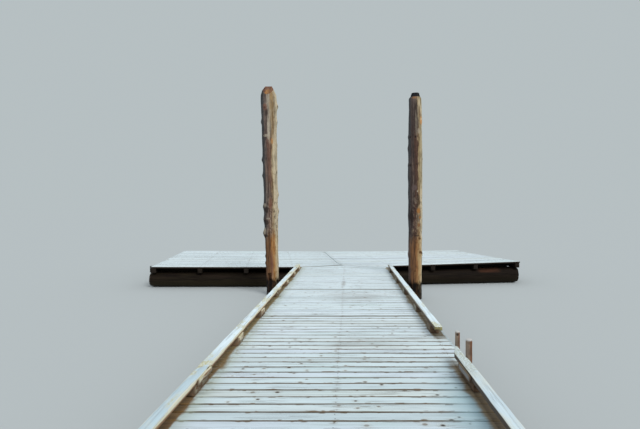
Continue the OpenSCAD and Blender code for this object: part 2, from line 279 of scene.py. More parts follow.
class JettyPiles(bpy.types.PropertyGroup):
    """Shape and colours of the tall piles and the edge posts"""

    ring_gap: metres("Ring spacing", "Distance between the rings round a pile", 0.016)
    around: bpy.props.IntProperty(name="Sides", description="Vertices round a pile", default=96, min=24)
    furrow: metres("Furrows", "Depth of the long furrows", 0.007)
    grey_brown: colour("Grey brown", "Most of the trunk", (0.19, 0.14, 0.105))
    pale: colour("Pale", "Dry pale streaks", (0.46, 0.40, 0.31))
    # On the piles, cream, tan and ochre on the right side are bleached wood with painted light on it, slate
    # on the left side is painted shade, and dark also serves for painted shadows of lumps and facets
    cream: colour("Cream", "Side that the weather has bleached", (0.64, 0.54, 0.37))
    tan: colour("Tan", "Lower part of that side", (0.52, 0.36, 0.18))
    ochre: colour("Ochre", "Upper part of that side", (0.35, 0.225, 0.10))
    slate: colour("Slate", "Shaded side", (0.050, 0.058, 0.064))
    mauve: colour("Mauve", "Grey purple wood", (0.13, 0.092, 0.085))
    dark: colour("Dark", "Dark brown bark remains", (0.030, 0.020, 0.017))
    red: colour("Red brown", "Bare red brown wood", (0.19, 0.085, 0.055))
    umber: colour("Umber", "Brown wood, low on the trunks", (0.21, 0.100, 0.046))
    orange: colour("Orange brown", "Fresh wood above the wet foot", (0.37, 0.165, 0.048))
    fresh: colour("Fresh", "Freshest wood, on the hewn top and where a branch broke", (0.55, 0.27, 0.10))
    olive: colour("Olive", "Lichen on the dry side", (0.40, 0.34, 0.20))
    scar: colour("Scar", "Brown scars of branches in the clean wood", (0.085, 0.032, 0.010))
    tar: colour("Tar", "Black coat on the pile's top", (0.012, 0.013, 0.017))
    wet: colour("Wet", "Foot that is always wet", (0.005, 0.004, 0.004))
    post_pale: colour("Post top", "Pale cut top of the edge posts", (0.50, 0.50, 0.49))
    # The edge posts' grey left side and red brown right side are partly painted shade and light
    post_grey: colour("Post grey", "Worn left side of the edge posts", (0.27, 0.205, 0.155))
    post_red: colour("Post red", "Red brown side of the edge posts", (0.18, 0.085, 0.046))


class JettyStage(bpy.types.PropertyGroup):
    """Camera, floor and light"""

    eye: bpy.props.FloatVectorProperty(
        name="Eye", description="Place of the camera", default=(0.525, -6.568, 1.963), unit="LENGTH"
    )
    down: bpy.props.FloatProperty(
        name="Pitch", description="How far the camera looks down", unit="ROTATION",
        default=math.radians(0.396),
    )
    lens: bpy.props.FloatProperty(
        name="Lens", description="Focal length in millimetres", default=28.52, unit="CAMERA"
    )
    shift: bpy.props.FloatProperty(name="Shift", description="Sideways shift of the lens", default=-0.04375)
    floor: colour("Floor", "Plain floor", (0.46, 0.50, 0.51))
    sky: colour("Sky", "Light from all round", (0.93, 0.97, 1.0))
    sky_light: amount("Sky light", "Strength of the light from all round", 0.74)
    backdrop: colour("Backdrop", "Plain background as the camera sees it", (0.4707, 0.5246, 0.5401))
    sun_light: amount("Sun light", "Strength of the soft lamp", 1.55)


def arithmetic(operation, swapped=False):
    """A method of Socket that adds a Math node."""

    def apply(self, other):
        pair = (other, self) if swapped else (self, other)
        return self.maker.math(operation, *pair)

    return apply


class Socket:
    """One output of a node. Arithmetic on it adds Math nodes."""

    def __init__(self, maker, output):
        self.maker = maker
        self.output = output

    __add__ = __radd__ = arithmetic("ADD")
    __sub__ = arithmetic("SUBTRACT")
    __rsub__ = arithmetic("SUBTRACT", swapped=True)
    __mul__ = __rmul__ = arithmetic("MULTIPLY")
    __truediv__ = arithmetic("DIVIDE")

    def __abs__(self):
        return self.maker.math("ABSOLUTE", self)

    def at(self, name):
        """Another output of the same node."""
        return Socket(self.maker, self.output.node.outputs[name])

    def between(self, low, high):
        """Rises smoothly from 0 at low to 1 at high, or falls where low is the larger."""
        settings = {"interpolation_type": "SMOOTHSTEP"}
        return self.maker.node("ShaderNodeMapRange", settings, {0: self, 1: low, 2: high})

    def within(self, low, high):
        """1 from low to high, with soft ends."""
        rise = self.between(low - ZONE_FADE, low + ZONE_FADE)
        return rise * self.between(high + ZONE_FADE, high - ZONE_FADE)

    def parts(self):
        """The three numbers of a vector or a colour."""
        split = self.maker.node("ShaderNodeSeparateXYZ", {}, {0: self})
        return split, split.at("Y"), split.at("Z")


class NodeMaker:
    """Adds nodes to a material or a world."""

    def __init__(self, owner):
        owner.use_nodes = True
        self.nodes = owner.node_tree.nodes
        self.links = owner.node_tree.links

    def node(self, kind, settings, inputs):
        """Adds a node, sets its settings and then its inputs, and gives its first live output."""
        made = self.nodes.new(kind)
        for name, value in settings.items():
            setattr(made, name, value)
        for name, value in inputs.items():
            self.plug(made.inputs[name], value)
        return Socket(self, next(output for output in made.outputs if output.enabled))

    def plug(self, entry, value):
        if isinstance(value, Socket):
            self.links.new(value.output, entry)
        elif hasattr(value, "__len__") and len(value) == 3 and entry.type == "RGBA":
            entry.default_value = (*value, 1)
        else:
            entry.default_value = value

    def math(self, operation, *values):
        return self.node("ShaderNodeMath", {"operation": operation}, dict(enumerate(values)))

    def vector(self, operation, *values):
        return self.node("ShaderNodeVectorMath", {"operation": operation}, dict(enumerate(values)))

    def mix(self, share, first, second):
        """A colour that goes from first to second as share goes from 0 to 1."""
        return self.node("ShaderNodeMix", {"data_type": "RGBA"}, {0: share, 6: first, 7: second})


class Paint(NodeMaker):
    """A material being made, from coats that lie over one another."""

    def __init__(self, name):
        old = bpy.data.materials.get(name)
        if old:
            bpy.data.materials.remove(old)
        self.material = bpy.data.materials.new(name)
        super().__init__(self.material)
        self.shader = self.nodes["Principled BSDF"]
        self.shown = None

    def coat(self, tint, share):
        """Lays a tint over this share of what shows so far. The first coat covers everything."""
        self.shown = tint if self.shown is None else self.mix(share, self.shown, tint)

    def coats(self, *layers):
        for tint, share in layers:
            self.coat(tint, share)

    def attribute(self, name):
        return self.node("ShaderNodeAttribute", {"attribute_name": name}, {}).at("Vector")

    def value(self, name):
        return self.node("ShaderNodeAttribute", {"attribute_name": name}, {}).at("Fac")

    def wood(self):
        """The place in a timber, the timber's random tone, and a place that no other timber shares."""
        grain = self.attribute("grain")
        tone = self.attribute("tone")
        return grain, tone, self.vector("ADD", grain, self.vector("MULTIPLY", tone, TONE_SHIFT))

    def place(self):
        return self.node("ShaderNodeTexCoord", {}, {}).at("Object")

    def off(self, x, y, spot_x, spot_y, half_x, half_y):
        """Distance from the middle of an ellipse, 1 on its rim."""
        right = (x - spot_x) / half_x
        ahead = (y - spot_y) / half_y
        return self.math("SQRT", right * right + ahead * ahead)

    def noise(self, vector, stretch, detail=3, rough=0.55):
        """Noise with stretch waves to the metre along each axis."""
        place = self.vector("MULTIPLY", vector, stretch)
        inputs = {"Vector": place, "Scale": 1.0, "Detail": detail, "Roughness": rough}
        return self.node("ShaderNodeTexNoise", {}, inputs)

    def spots(self, vector, stretch):
        """Distance in plan to the nearest of many scattered points, and that point's random colour."""
        place = self.vector("MULTIPLY", vector, stretch)
        settings = {"voronoi_dimensions": "2D"}
        found = self.node("ShaderNodeTexVoronoi", settings, {"Vector": place, "Scale": 1.0})
        return found, found.at("Color")

    def cracks(self, vector, stretch, own, spread, low):
        """Thin lines along the grain, here and there."""
        line = abs(self.noise(vector, stretch, 2) - 0.5)
        return line.between(0.014, 0.003) * self.noise(own, spread, 1).between(low, 0.6)

    def finish(self, roughness, height, depth, specular):
        """Plugs what shows, the roughness and the relief into the shader."""
        self.plug(self.shader.inputs["Base Color"], self.shown)
        self.plug(self.shader.inputs["Roughness"], roughness)
        self.shader.inputs["Specular IOR Level"].default_value = specular
        bump = self.node("ShaderNodeBump", {}, {"Strength": 1.0, "Distance": depth, "Height": height})
        self.plug(self.shader.inputs["Normal"], bump)
        return self.material


class Wear(typing.NamedTuple):
    """How one deck has worn, and how dark the painted shade is on the sides of its boards in the gaps"""

    stain_reach: float
    gap_shade: float
    end_stain: float


def board_paint(name, look, wear, half_length, nail_spacing, seams, beside_rails):
    """Bleached softwood with brown edges, knots and nail stains, paler in the outer decks from a painted
    sheen.
    Dirt with painted shade lies along the seams and the rails.
    """
    paint = Paint(name)
    grain, tone, own = paint.wood()
    along, across, up = grain.parts()
    luck, hue, third = tone.parts()
    place = paint.place()
    x, y, _ = place.parts()
    bare = paint.value("end")
    # Painted sheen: beyond the left joint the boards grow paler with distance, as a grazing reflection would
    # make them
    sheen = y.between(LEFT_JOINT, LEFT_JOINT + 2.2) * 0.48
    unsheened = 1 - sheen

    knot_gap, knot_luck = paint.spots(own, (5.5, 5.5, 5.5))
    knot_here, knot_size, knot_dark = knot_luck.parts()
    knot_off = knot_gap / (knot_size * 0.055 + 0.055)
    knot_here = knot_here.between(0.56, 0.59) * (0.3 + 0.7 * unsheened)
    knot_near = knot_off.between(3.4, 0.8) * knot_here
    knot = knot_off.between(1.3, 0.6) * knot_here * (0.55 + knot_dark * 0.4)
    heart = knot_off.between(0.8, 0.3) * knot_here * knot_dark.between(0.45, 0.7)

    flowing = paint.vector("ADD", own, paint.node("ShaderNodeCombineXYZ", {}, {1: knot_near * 0.012}))
    fibre = paint.noise(flowing, (2.6, 190, 190), 4, 0.6)
    streak = paint.noise(flowing, (0.9, 36, 36))
    broad = paint.noise(own, (0.6, 8, 8), 2)
    blotch = paint.noise(place, (0.55, 0.9, 0.55))
    smear = paint.noise(own, (5, 24, 24))
    check = paint.cracks(flowing, (0.65, 42, 9), own, (1.6, 9, 9), 0.48)
    nail_along = paint.math("PINGPONG", along + (third - 0.5) * NAIL_SHIFT, nail_spacing / 2)
    nail_across = abs(across) - look.nail_inset
    nail_gap = paint.math("SQRT", nail_along * nail_along * 0.35 + nail_across * nail_across)
    stain = nail_gap.between(0.03, 0.006) * fibre.between(0.3, 0.6) * smear.between(0.46, 0.6)
    paint.coats(
        (look.dull, 1),
        (look.pale, luck),
        (look.pale, 0.55),
        (look.bleached, sheen),
        (look.dull, luck.between(0.3, 0) * 0.35),
        (look.cream, hue.between(0.66, 1) * unsheened * 0.6),
        (look.lilac, hue.between(0.34, 0) * unsheened * 0.5),
        (look.dull, streak.between(0.6, 0.32) * (0.2 + 0.3 * unsheened)),
        (look.algae, blotch.between(0.5, 0.72) * broad.between(0.4, 0.6) * unsheened * 0.5),
        (look.knot, fibre.between(0.54, 0.34) * 0.26),
        (look.cream, knot_near * streak.between(0.35, 0.6) * 0.4),
        (look.knot, check * 0.8),
        (look.knot, knot_near * fibre.between(0.65, 0.3) * 0.35),
        (look.knot, knot),
        (look.heart, heart * 0.95),
        (look.knot, stain * 0.5),
    )
    if beside_rails:
        for strength, *ellipse in WALK_STAINS:
            off = paint.off(x, y, *ellipse) + (blotch + smear - 1) * 1.2
            paint.coat(look.knot, off.between(1.2, 0.3) * streak.between(0.66, 0.36) * strength)

    reach = wear.stain_reach
    edge = paint.value("rim") + (smear - 0.5) * (reach * 1.2)
    dark_stretch = paint.noise(own, (2.4, 30, 30), 2).between(0.38, 0.58)
    lump = paint.noise(own, (13, 17, 17), 1).between(0.58, 0.66) * unsheened
    side = up.between(0.0165, 0.012)
    end = abs(along).between(half_length - 0.05, half_length - 0.004)
    # The boards' sides in the gaps and the open raft fronts are painted as shade
    paint.coats(
        (look.knot, edge.between(reach * 2.2, 0) * broad.between(0.35, 0.6) * 0.4),
        (look.seam, edge.between(reach, reach * 0.3) * (0.62 + dark_stretch * 0.36)),
        (look.knot, lump * edge.between(reach * 3, reach) * 0.85),
        (look.seam, side * wear.gap_shade),
        (paint.mix(smear.between(0.4, 0.6), look.cream, look.dull), side * bare),
        (look.soil_and_shade, paint.value("front") * 0.96),
        (look.knot, end * streak.between(0.6, 0.35) * wear.end_stain),
    )
    # Dark seams over the wider gaps and the joints: dirt with painted shade of the gaps
    for seam, half in seams:
        off = abs(y - seam) + (smear - 0.5) * 0.02
        paint.coat(look.seam, off.between(half + 0.008, half - 0.008) * 0.92)
    if beside_rails:
        rail_litter(paint, look, own, fibre)
        outer = abs(along).between(half_length - 0.03, half_length - 0.01)
        paint.coat(look.dull, outer * (0.5 + fibre * 0.5))
    # The lower sides and undersides of the boards are painted dark as shade
    paint.coat(look.soil_and_shade, up.between(0, -0.012) * (1 - bare) * 0.8)
    relief = fibre * 0.35 + streak * 0.5 - check * 0.9 - knot * 0.25 + heart * 0.2
    return paint.finish(0.72 + fibre * 0.18, relief, 0.0022, 0.15)


def rail_litter(paint, look, own, fibre):
    """Litter lies under the rails and a little beside them, over a green film on the left and darker, bluer
    boards on the right that are partly wet and partly painted shade. Right under the rails the deck is
    painted near black, as dirt with painted shade."""
    place = paint.place()
    x, y, _ = place.parts()
    ragged = paint.noise(own, (3.2, 24, 24))
    smudge = paint.noise(place, (4, 1.8, 4))
    crumbs = paint.noise(place, (34, 34, 34), 2)
    tongue = smudge.between(0.5, 0.68)
    left_off = x - LEFT_INNER + UNDER_RAIL
    right_off = RIGHT_INNER + UNDER_RAIL - x
    gap_start, gap_end = RIGHT_GAP
    near = y.between(gap_start + 0.05, gap_start - 0.3)
    far = y.between(gap_end - 0.1, gap_end + 0.2)
    olive = y.between(LEFT_JOINT - 0.6, LEFT_JOINT + 2) * (0.5 + smudge * 0.5)
    strength = 0.9 + fibre * 0.1

    fringe = left_off.between(0.16, 0.05) * crumbs.between(0.52, 0.62)
    # The boards darken and turn bluer towards the near right rail: partly wet wood, partly painted shade
    damp = right_off.between(0.42, 0.06) * y.between(gap_start + 0.3, gap_start - 1.3)
    narrower = 1 - y.between(gap_start - 0.2, gap_start - 1) * 0.4
    left_reach = (0.006 + ragged * 0.032 + tongue * 0.045 + crumbs * 0.02) * narrower
    right_reach = 0.013 + ragged * 0.055 + tongue * 0.055 + near * 0.02
    left = (left_off / left_reach).between(1.35, 0.35)
    right = (right_off / right_reach).between(1.2, 0.4) * (near * 0.9 + far * 0.85)
    pale_crumbs = crumbs.between(0.54, 0.66) * olive * 0.5
    # Right under the rails the deck is painted near black: dirt with painted shade
    left_shaded_soil = left_off.between(0.016, -0.01) * ragged.between(0.62, 0.42) * (0.35 - olive * 0.2)
    right_shaded_soil = right_off.between(0.026, 0.006) * (near * 0.5 + far * 0.5)
    paint.coats(
        (look.film, left_off.between(0.2, 0.03) * smudge.between(0.2, 0.6) * 0.4),
        (look.moss, fringe * y.between(LEFT_JOINT - 0.3, LEFT_JOINT + 1) * 0.45),
        (look.damp, damp * (0.5 + ragged * 0.5)),
        (paint.mix(olive, look.dirt, look.moss), left * strength * (1 - pale_crumbs)),
        (paint.mix(0.3 + olive * 0.5, look.dirt, look.moss), right * strength),
        (look.soil_and_shade, left_shaded_soil + right_shaded_soil),
    )


def rail_paint(name, look):
    """Bleached rail plank with cream edges, local lichen, sunny tan sides and near black shaded ones."""
    paint = Paint(name)
    grain, _, own = paint.wood()
    up = grain.parts()[2]
    place = paint.place()
    x, y, _ = place.parts()
    fibre = paint.noise(own, (2.4, 170, 170), 4, 0.6)
    streak = paint.noise(own, (0.9, 38, 38))
    patch = paint.noise(place, (8, 2.8, 8), 4, 0.62)
    speck = paint.noise(place, (70, 28, 70), 3, 0.65)
    check = paint.cracks(own, (0.5, 30, 12), own, (1.2, 9, 9), 0.46)

    on_left = x.between(WALK_X + 0.1, WALK_X - 0.1)
    on_right = 1 - on_left
    far = y.between(LEFT_JOINT - 0.05, LEFT_JOINT + 0.8)
    past_joint, past_tip, past_start = y - LEFT_JOINT, y - RIGHT_GAP[0], y - RIGHT_GAP[1]
    joint = past_joint.between(-0.35, -0.12) * past_joint.between(0.35, 0.1) * on_left
    tip = past_tip.between(-0.9, -0.65) * on_right * past_tip.between(0.2, 0)
    start = past_start.between(0.3, 0.05) * past_start.between(-0.1, -0.05) * on_right
    finish = y.between(RAIL_END - 1.7, RAIL_END - 0.2) * on_left
    rubbed = paint.value("rim").between(0.01, 0.004) * patch.between(0.36, 0.56)
    mottled = speck.between(0.42, 0.58) * patch.between(0.36, 0.55)
    grown = patch + joint * 0.13 + start * 0.3 + finish * 0.22 + far * 0.1 - on_right * 0.06
    grown = grown.between(0.58, 0.7) * speck.between(0.4, 0.58)

    # The sides carry painted light and shade: cream over tan where the left rail's sides face the light,
    # painted shade on the right rail's sides, lighter towards their top along the far right plank, and
    # painted shade on the undersides
    side = up.between(0.021, 0.015)
    worn = up + (patch - 0.5) * 0.03 + (streak - 0.5) * 0.02
    sunny = paint.mix(worn.between(0.004, -0.01), look.cream, look.tan)
    sunny = paint.mix(worn.between(-0.008, -0.022) * (0.7 - far * 0.35), sunny, look.shade)
    upper_far_side = worn.between(-0.014, 0.01) * y.between(RIGHT_GAP[1] - 0.1, RIGHT_GAP[1] + 1)
    shady = paint.mix(upper_far_side * 0.85, look.shade, paint.mix(0.5, look.beige, look.tan))
    sawn = paint.mix(patch.between(0.45, 0.65) * 0.6, look.shade, look.lichen)
    paint.coats(
        (look.pale, 1),
        (look.white, paint.math("MAXIMUM", far * 0.9, on_right * 0.5)),
        (look.dull, streak.between(0.56, 0.32) * 0.4),
        (look.shade, fibre.between(0.54, 0.36) * 0.16),
        (look.cream, patch.between(0.45, 0.65) * 0.25),
        (look.cream, rubbed * (0.35 + on_left * 0.35)),
        (look.cream, joint * patch.between(0.4, 0.6) * 0.5),
        (look.beige, tip * (0.2 + mottled * 0.6)),
        (look.lichen, grown * 0.8),
        (look.shade, check * (0.15 + far * on_left * 0.6)),
        (sunny, side * on_left),
        (shady, side * on_right * 0.95),
        (sawn, paint.value("end") * side * 0.9),
        (look.shade, up.between(-0.018, -0.022) * 0.9),
    )
    relief = fibre * 0.35 + streak * 0.55 - check * 0.8 + grown * speck * 0.6
    return paint.finish(0.74 + fibre * 0.16, relief, 0.003, 0.2)


def block_paint(name, look, half_height, shaded):
    """Blocks and cleats beside the rails: bleached on top, brown on the sides, or of the colour in shaded
    along the right rail."""
    paint = Paint(name)
    grain, _, own = paint.wood()
    up = grain.parts()[2]
    x, y, _ = paint.place().parts()
    fibre = paint.noise(own, (6, 170, 170), 4, 0.6)
    patch = paint.noise(own, (9, 22, 22), 3, 0.6)
    on_right = x.between(WALK_X - 0.1, WALK_X + 0.1)
    # Painted shade: the lower sides darken to the shade colour, and along the right rail the sides, tops and
    # sawn ends take the darker shaded colours
    low = (up / half_height + (patch - 0.5) * 1.2).between(0.3, -0.6)
    sunny = paint.mix(patch.between(0.4, 0.56) * 0.8, look.tan, look.cream)
    shady = paint.mix(y.between(RIGHT_GAP[1], RIGHT_GAP[1] + 1) * 0.5, shaded, look.beige)
    top = paint.mix(patch.between(0.4, 0.6) * 0.5, look.cream, look.lichen)
    paint.coats(
        (sunny, 1),
        (look.shade, low * 0.65),
        (shady, on_right),
        (paint.mix(on_right * 0.9, top, look.shaded_earth), up.between(half_height - 0.012, half_height - 0.004)),
        (look.shade, fibre.between(0.55, 0.38) * 0.4),
    )
    sawn = paint.mix(patch.between(0.4, 0.6) * 0.6 + on_right * 0.5, look.sawn, look.shade)
    paint.coat(sawn, paint.value("end") * 0.92)
    return paint.finish(0.78 + fibre * 0.14, fibre * 0.5 + patch * 0.5, 0.003, 0.15)


def framing_paint(name, look):
    """Wet sawn timber, darkened as painted shade under the decks, with drier streaks and greyer ends."""
    paint = Paint(name)
    _, _, own = paint.wood()
    fibre = paint.noise(own, (3, 150, 150), 4, 0.6)
    streak = paint.noise(own, (1.1, 26, 26))
    blotch = paint.noise(paint.place(), (2.6, 2.6, 5))
    paint.coats(
        (look.damp, 1),
        (look.dry, streak.between(0.4, 0.66)),
        (look.damp, fibre.between(0.55, 0.4) * 0.4),
        (look.end_grain, paint.value("end") * blotch.between(0.36, 0.6)),
    )
    return paint.finish(0.7 + blotch * 0.2, fibre * 0.5 + streak * 0.5, 0.003, 0.08)


def log_paint(name, look):
    """Wet peeled log, darkened as painted shade under the decks: nearly black on top, olive slime below and
    axed ends. One patch on the right raft's front log is red brown, a pool of painted light."""
    paint = Paint(name)
    grain, _, own = paint.wood()
    place = paint.place()
    x, _, z = place.parts()
    fibre = paint.noise(own, (2.2, 90, 90), 4, 0.62)
    plate = paint.noise(own, (1.3, 13, 13))
    film = paint.noise(place, (1.6, 1.6, 3))
    from_heart = paint.vector("LENGTH", paint.vector("MULTIPLY", grain, (0, 1, 1))).at("Value")
    rings = paint.math("SINE", from_heart * 520)
    soaked = (z + film * 0.12).between(0.3, 0.12)
    patch_x = x + film * 0.3
    # The red brown patch is a pool of painted light
    ruddy_light = patch_x.between(4.13, 4.28) * patch_x.between(4.85, 4.7) * z.between(0.29, 0.32)
    paint.coats(
        (look.wood, 1),
        (look.grey, plate.between(0.4, 0.66) * 0.75),
        (look.slime, fibre.between(0.56, 0.36) * 0.6),
        (paint.mix(rings * 0.16 + 0.2, look.cut, look.wood), paint.value("end") * film.between(0.35, 0.6)),
        (look.slime, soaked * 0.85),
        # Painted shade darkens the logs under the right raft further
        (look.wood, x.between(WALK_X + 1.5, WALK_X + 3) * 0.5),
        (look.ruddy_light, ruddy_light * (fibre * 0.5 + plate * 0.5).between(0.35, 0.65) * 0.6),
    )
    return paint.finish(0.72 - soaked * 0.25, fibre * 0.5 + plate * 0.8, 0.006, 0.1)


def pile_paint(name, look, zones, marks, rough, streaked, crown, tarred_from=None):
    """Weathered trunk. Each zone is a colour with its strength and the side and the heights it covers. Each
    mark is a smaller patch: colour, strength, side, height, half width and half height. The bark remains,
    with painted highlights and shadows on their lumps, are thickest between the heights in rough, and hewn
    facets end at the height of the crown."""
    paint = Paint(name)
    grain = paint.attribute("grain")
    aside, ahead, height = grain.parts()
    streak = paint.noise(grain, (34, 34, 1.8), 4, 0.6)
    ribbon = paint.noise(grain, (13, 13, 0.9))
    fibre = paint.noise(grain, (150, 150, 7), 4, 0.65)
    mottle = paint.noise(grain, (15, 15, 7), 4, 0.7)
    fleck = paint.noise(grain, (36, 36, 17), 3, 0.6)
    flat_side = aside / PILE_GRAIN
    side = flat_side + (ribbon - 0.5) * 0.7 + (mottle - 0.5) * 0.6
    level = height + (mottle - 0.5) * 0.5 + (ribbon - 0.5) * 0.5
    paint.coats((look.grey_brown, 1), (look.pale, streak.between(0.42, 0.64) * streaked))
    for tint, strength, sides, heights in zones:
        paint.coat(tint, side.within(*sides) * level.within(*heights) * strength)

    # Pale flecks and streaks on the lit side are partly painted highlights on the bark's lumps, and the dark
    # flecks, thickest in the rough band, partly painted shadows between them
    dry = paint.mix(height.between(1.9, 1.2), look.pale, look.tan)
    band = level.within(*rough)
    lit = side.between(-0.8, -0.1)
    paint.coats(
        (look.dark, ribbon.between(0.5, 0.38) * 0.3),
        (dry, streak.between(0.55, 0.66) * lit * 0.3),
        (dry, mottle.between(0.54, 0.68) * (0.12 + band * 0.22) * lit),
        (look.dark, mottle.between(0.48, 0.34) * (0.32 + band * 0.35)),
        (dry, fleck.between(0.57, 0.67) * (0.06 + band * 0.5) * lit),
        (look.dark, fleck.between(0.45, 0.36) * (0.12 + band * 0.55)),
        (look.dark, streak.between(0.47, 0.37) * 0.5),
        (look.dark, fibre.between(0.46, 0.34) * 0.22),
    )
    shore_side = ahead.between(0.04, -0.04)
    for tint, strength, *ellipse in marks:
        off = paint.off(flat_side, height, *ellipse) + (mottle - 0.5) * 0.9
        paint.coat(tint, off.between(1.2, 0.6) * shore_side * strength)

    heart = (side + 0.1).between(-0.5, 0) * (side + 0.1).between(0.6, 0.2) * ahead.between(-0.08, -0.14)
    facet = paint.mix(heart * height.between(crown - 0.03, crown - 0.12), look.red, look.orange)
    facet = paint.mix(mottle.between(0.56, 0.4) * 0.5, facet, look.dark)
    # Facets that turn to the left are darkened as painted shade
    facet = paint.mix(side.between(-0.2, -0.7) * 0.6, facet, look.dark)
    wet = (height + (mottle - 0.5) * 0.22).between(0.46, 0.32)
    paint.coats(
        (look.dark, paint.value("knot").between(0.35, 0.8) * mottle.between(0.6, 0.44) * 0.85),
        (facet, paint.value("end") * 0.85),
        (look.wet, wet * (0.98 - mottle.between(0.45, 0.62) * 0.12)),
    )
    if tarred_from:
        paint.coat(look.tar, height.between(tarred_from - 0.012, tarred_from + 0.012) * 0.97)
    relief = streak * 0.7 + fibre * 0.3 + mottle * (0.45 + band * 0.45) + fleck * band * 0.4
    return paint.finish(0.84 - wet * 0.3, relief, 0.01, 0.12)


def post_paint(name, look):
    """Round pole: grey and red brown sides, partly painted shade and light, a pale top, and under it a hole
    painted as a dark spot of shade, darker in the far post.
    """
    paint = Paint(name)
    grain = paint.attribute("grain")
    aside = grain.parts()[0]
    _, y, level = paint.place().parts()
    streak = paint.noise(grain, (60, 60, 3), 4, 0.6)
    mottle = paint.noise(grain, (22, 22, 8))
    hole = paint.vector("DISTANCE", grain, POST_HOLE).at("Value").between(0.019, 0.011)
    wet = (level + (mottle - 0.5) * 0.14).between(0.37, 0.3)
    paint.coats(
        (look.post_grey, 1),
        # The red brown right side is partly painted light, and the grey left side partly painted shade
        (look.post_red, (aside + (streak - 0.5) * 0.05).between(-0.014, 0.016)),
        (look.dark, mottle.between(0.5, 0.35) * 0.4),
        # The hole under the top is a painted dark spot of shade, darker on the far post
        (look.dark, hole * (0.3 + y.between(POST_SPLIT - 0.05, POST_SPLIT + 0.05) * 0.6)),
        (look.post_pale, paint.value("end")),
        (look.wet, wet * 0.9),
    )
    return paint.finish(0.8 - wet * 0.3, streak * 0.7 + mottle * 0.4, 0.003, 0.15)


def iron_paint(name):
    """Rusted nail heads."""
    paint = Paint(name)
    rust = paint.noise(paint.place(), (60, 60, 60))
    paint.coats((IRON, 1), (RUST, rust.between(0.35, 0.65)))
    return paint.finish(0.55 + rust * 0.3, rust, 0.0006, 0.5)


class Timber:
    """A straight timber or log of the frame: its middle, its size, the way it points and its outline."""

    def __init__(self, edges, along):
        self.along = along
        self.across = Vector((-along.y, along.x, 0))
        axes = (self.along, self.across, Vector((0, 0, 1)))
        reach = [[end.dot(axis) for edge in edges for end in edge] for axis in axes]
        middles = [(min(r) + max(r)) / 2 for r in reach]
        self.size = [max(r) - min(r) for r in reach]
        self.middle = sum((axis * m for axis, m in zip(axes, middles)), Vector())
        self.place = Matrix.Translation(self.middle) @ Matrix(axes).transposed().to_4x4()
        back = self.place.inverted()
        local = [(back @ start, back @ end) for start, end in edges]
        floor = -self.size[2] / 2
        self.outline = [(a, b) for a, b in local if max(a.z, b.z) < floor + 1e-4 and abs(a.x - b.x) > 1e-4]
        self.shaped = len(self.outline) > 2 or any(abs(a.y - b.y) > 1e-4 for a, b in self.outline)

    def fit(self, points):
        """Carries points of a straight plank into the timber's own outline. Gives the width there too."""
        length, width, _ = self.size
        if not self.shaped:
            return points, np.full(len(points), width)
        x = np.clip(points[:, 0], -length / 2 + 1e-5, length / 2 - 1e-5)
        low = np.full(len(points), np.inf)
        high = -low
        for a, b in self.outline:
            inside = (x >= min(a.x, b.x)) & (x <= max(a.x, b.x))
            y = a.y + (x - a.x) * (b.y - a.y) / (b.x - a.x)
            low = np.where(inside, np.minimum(low, y), low)
            high = np.where(inside, np.maximum(high, y), high)
        fitted = points.copy()
        fitted[:, 1] = low + (points[:, 1] / width + 0.5) * (high - low)
        return fitted, high - low


def solids_of(node):
    """The separate solids of a frame node, each as a list of its edges' two ends."""
    bm = bmesh.new()
    bm.from_mesh(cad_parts[node].data)
    bmesh.ops.remove_doubles(bm, verts=bm.verts, dist=1e-5)
    bmesh.ops.dissolve_limit(bm, angle_limit=0.02, verts=bm.verts, edges=bm.edges)
    waiting = set(bm.verts)
    found = []
    while waiting:
        group = {waiting.pop()}
        fresh = list(group)
        while fresh:
            for edge in fresh.pop().link_edges:
                for vert in edge.verts:
                    if vert in waiting:
                        waiting.remove(vert)
                        group.add(vert)
                        fresh.append(vert)
        edges = {edge for vert in group for edge in vert.link_edges}
        found.append([(edge.verts[0].co.copy(), edge.verts[1].co.copy()) for edge in edges])
    bm.free()
    return found


@functools.lru_cache(maxsize=None)
def timbers(node):
    """The timbers of a frame node, in order from the shore outwards and from left to right."""
    found = []
    for edges in solids_of(node):
        start, end = max(edges, key=lambda edge: (edge[0] - edge[1]).xy.length)
        along = (end - start).normalized()
        if along.x + along.y < 0:
            along = -along
        found.append(Timber(edges, along))
    return sorted(found, key=lambda timber: (round(timber.middle.y, 3), timber.middle.x))


def baked(bm, name):
    """A mesh made from bm, which is freed."""
    mesh = bpy.data.meshes.new(name)
    bm.to_mesh(mesh)
    bm.free()
    return mesh


def blank(bm, name):
    """A mesh made from bm, and the places of its vertices in rows."""
    mesh = baked(bm, name)
    points = np.zeros(len(mesh.vertices) * 3)
    mesh.vertices.foreach_get("co", points)
    return mesh, points.reshape(-1, 3)


def cut_rings(bm, axis, length, cuts):
    """Divides the edges that run the whole length along an axis, so that the shape can bend there."""
    whole = [e for e in bm.edges if abs(e.verts[0].co[axis] - e.verts[1].co[axis]) > length / 2]
    bmesh.ops.subdivide_edges(bm, edges=whole, cuts=cuts, use_grid_fill=True)


def slice_at(bm, spot, way, **options):
    """Cuts through all of bm along a plane."""
    geometry = bm.verts[:] + bm.edges[:] + bm.faces[:]
    return bmesh.ops.bisect_plane(bm, geom=geometry, plane_co=spot, plane_no=way, **options)


def ease_edges(bm, edges, radius, segments):
    """Rounds edges off."""
    bmesh.ops.bevel(
        bm, geom=edges, offset=radius, offset_type="OFFSET", segments=segments, profile=0.5,
        affect="EDGES", material=-1,
    )


def ringed_pole(around, radius, length, ring_gap, axis, place):
    """A closed cylinder with rings of vertices. At its place it runs along an axis."""
    bm = bmesh.new()
    bmesh.ops.create_cone(
        bm, cap_ends=True, segments=around, radius1=radius, radius2=radius, depth=length, matrix=place
    )
    cut_rings(bm, axis, length, round(length / ring_gap))
    return bm


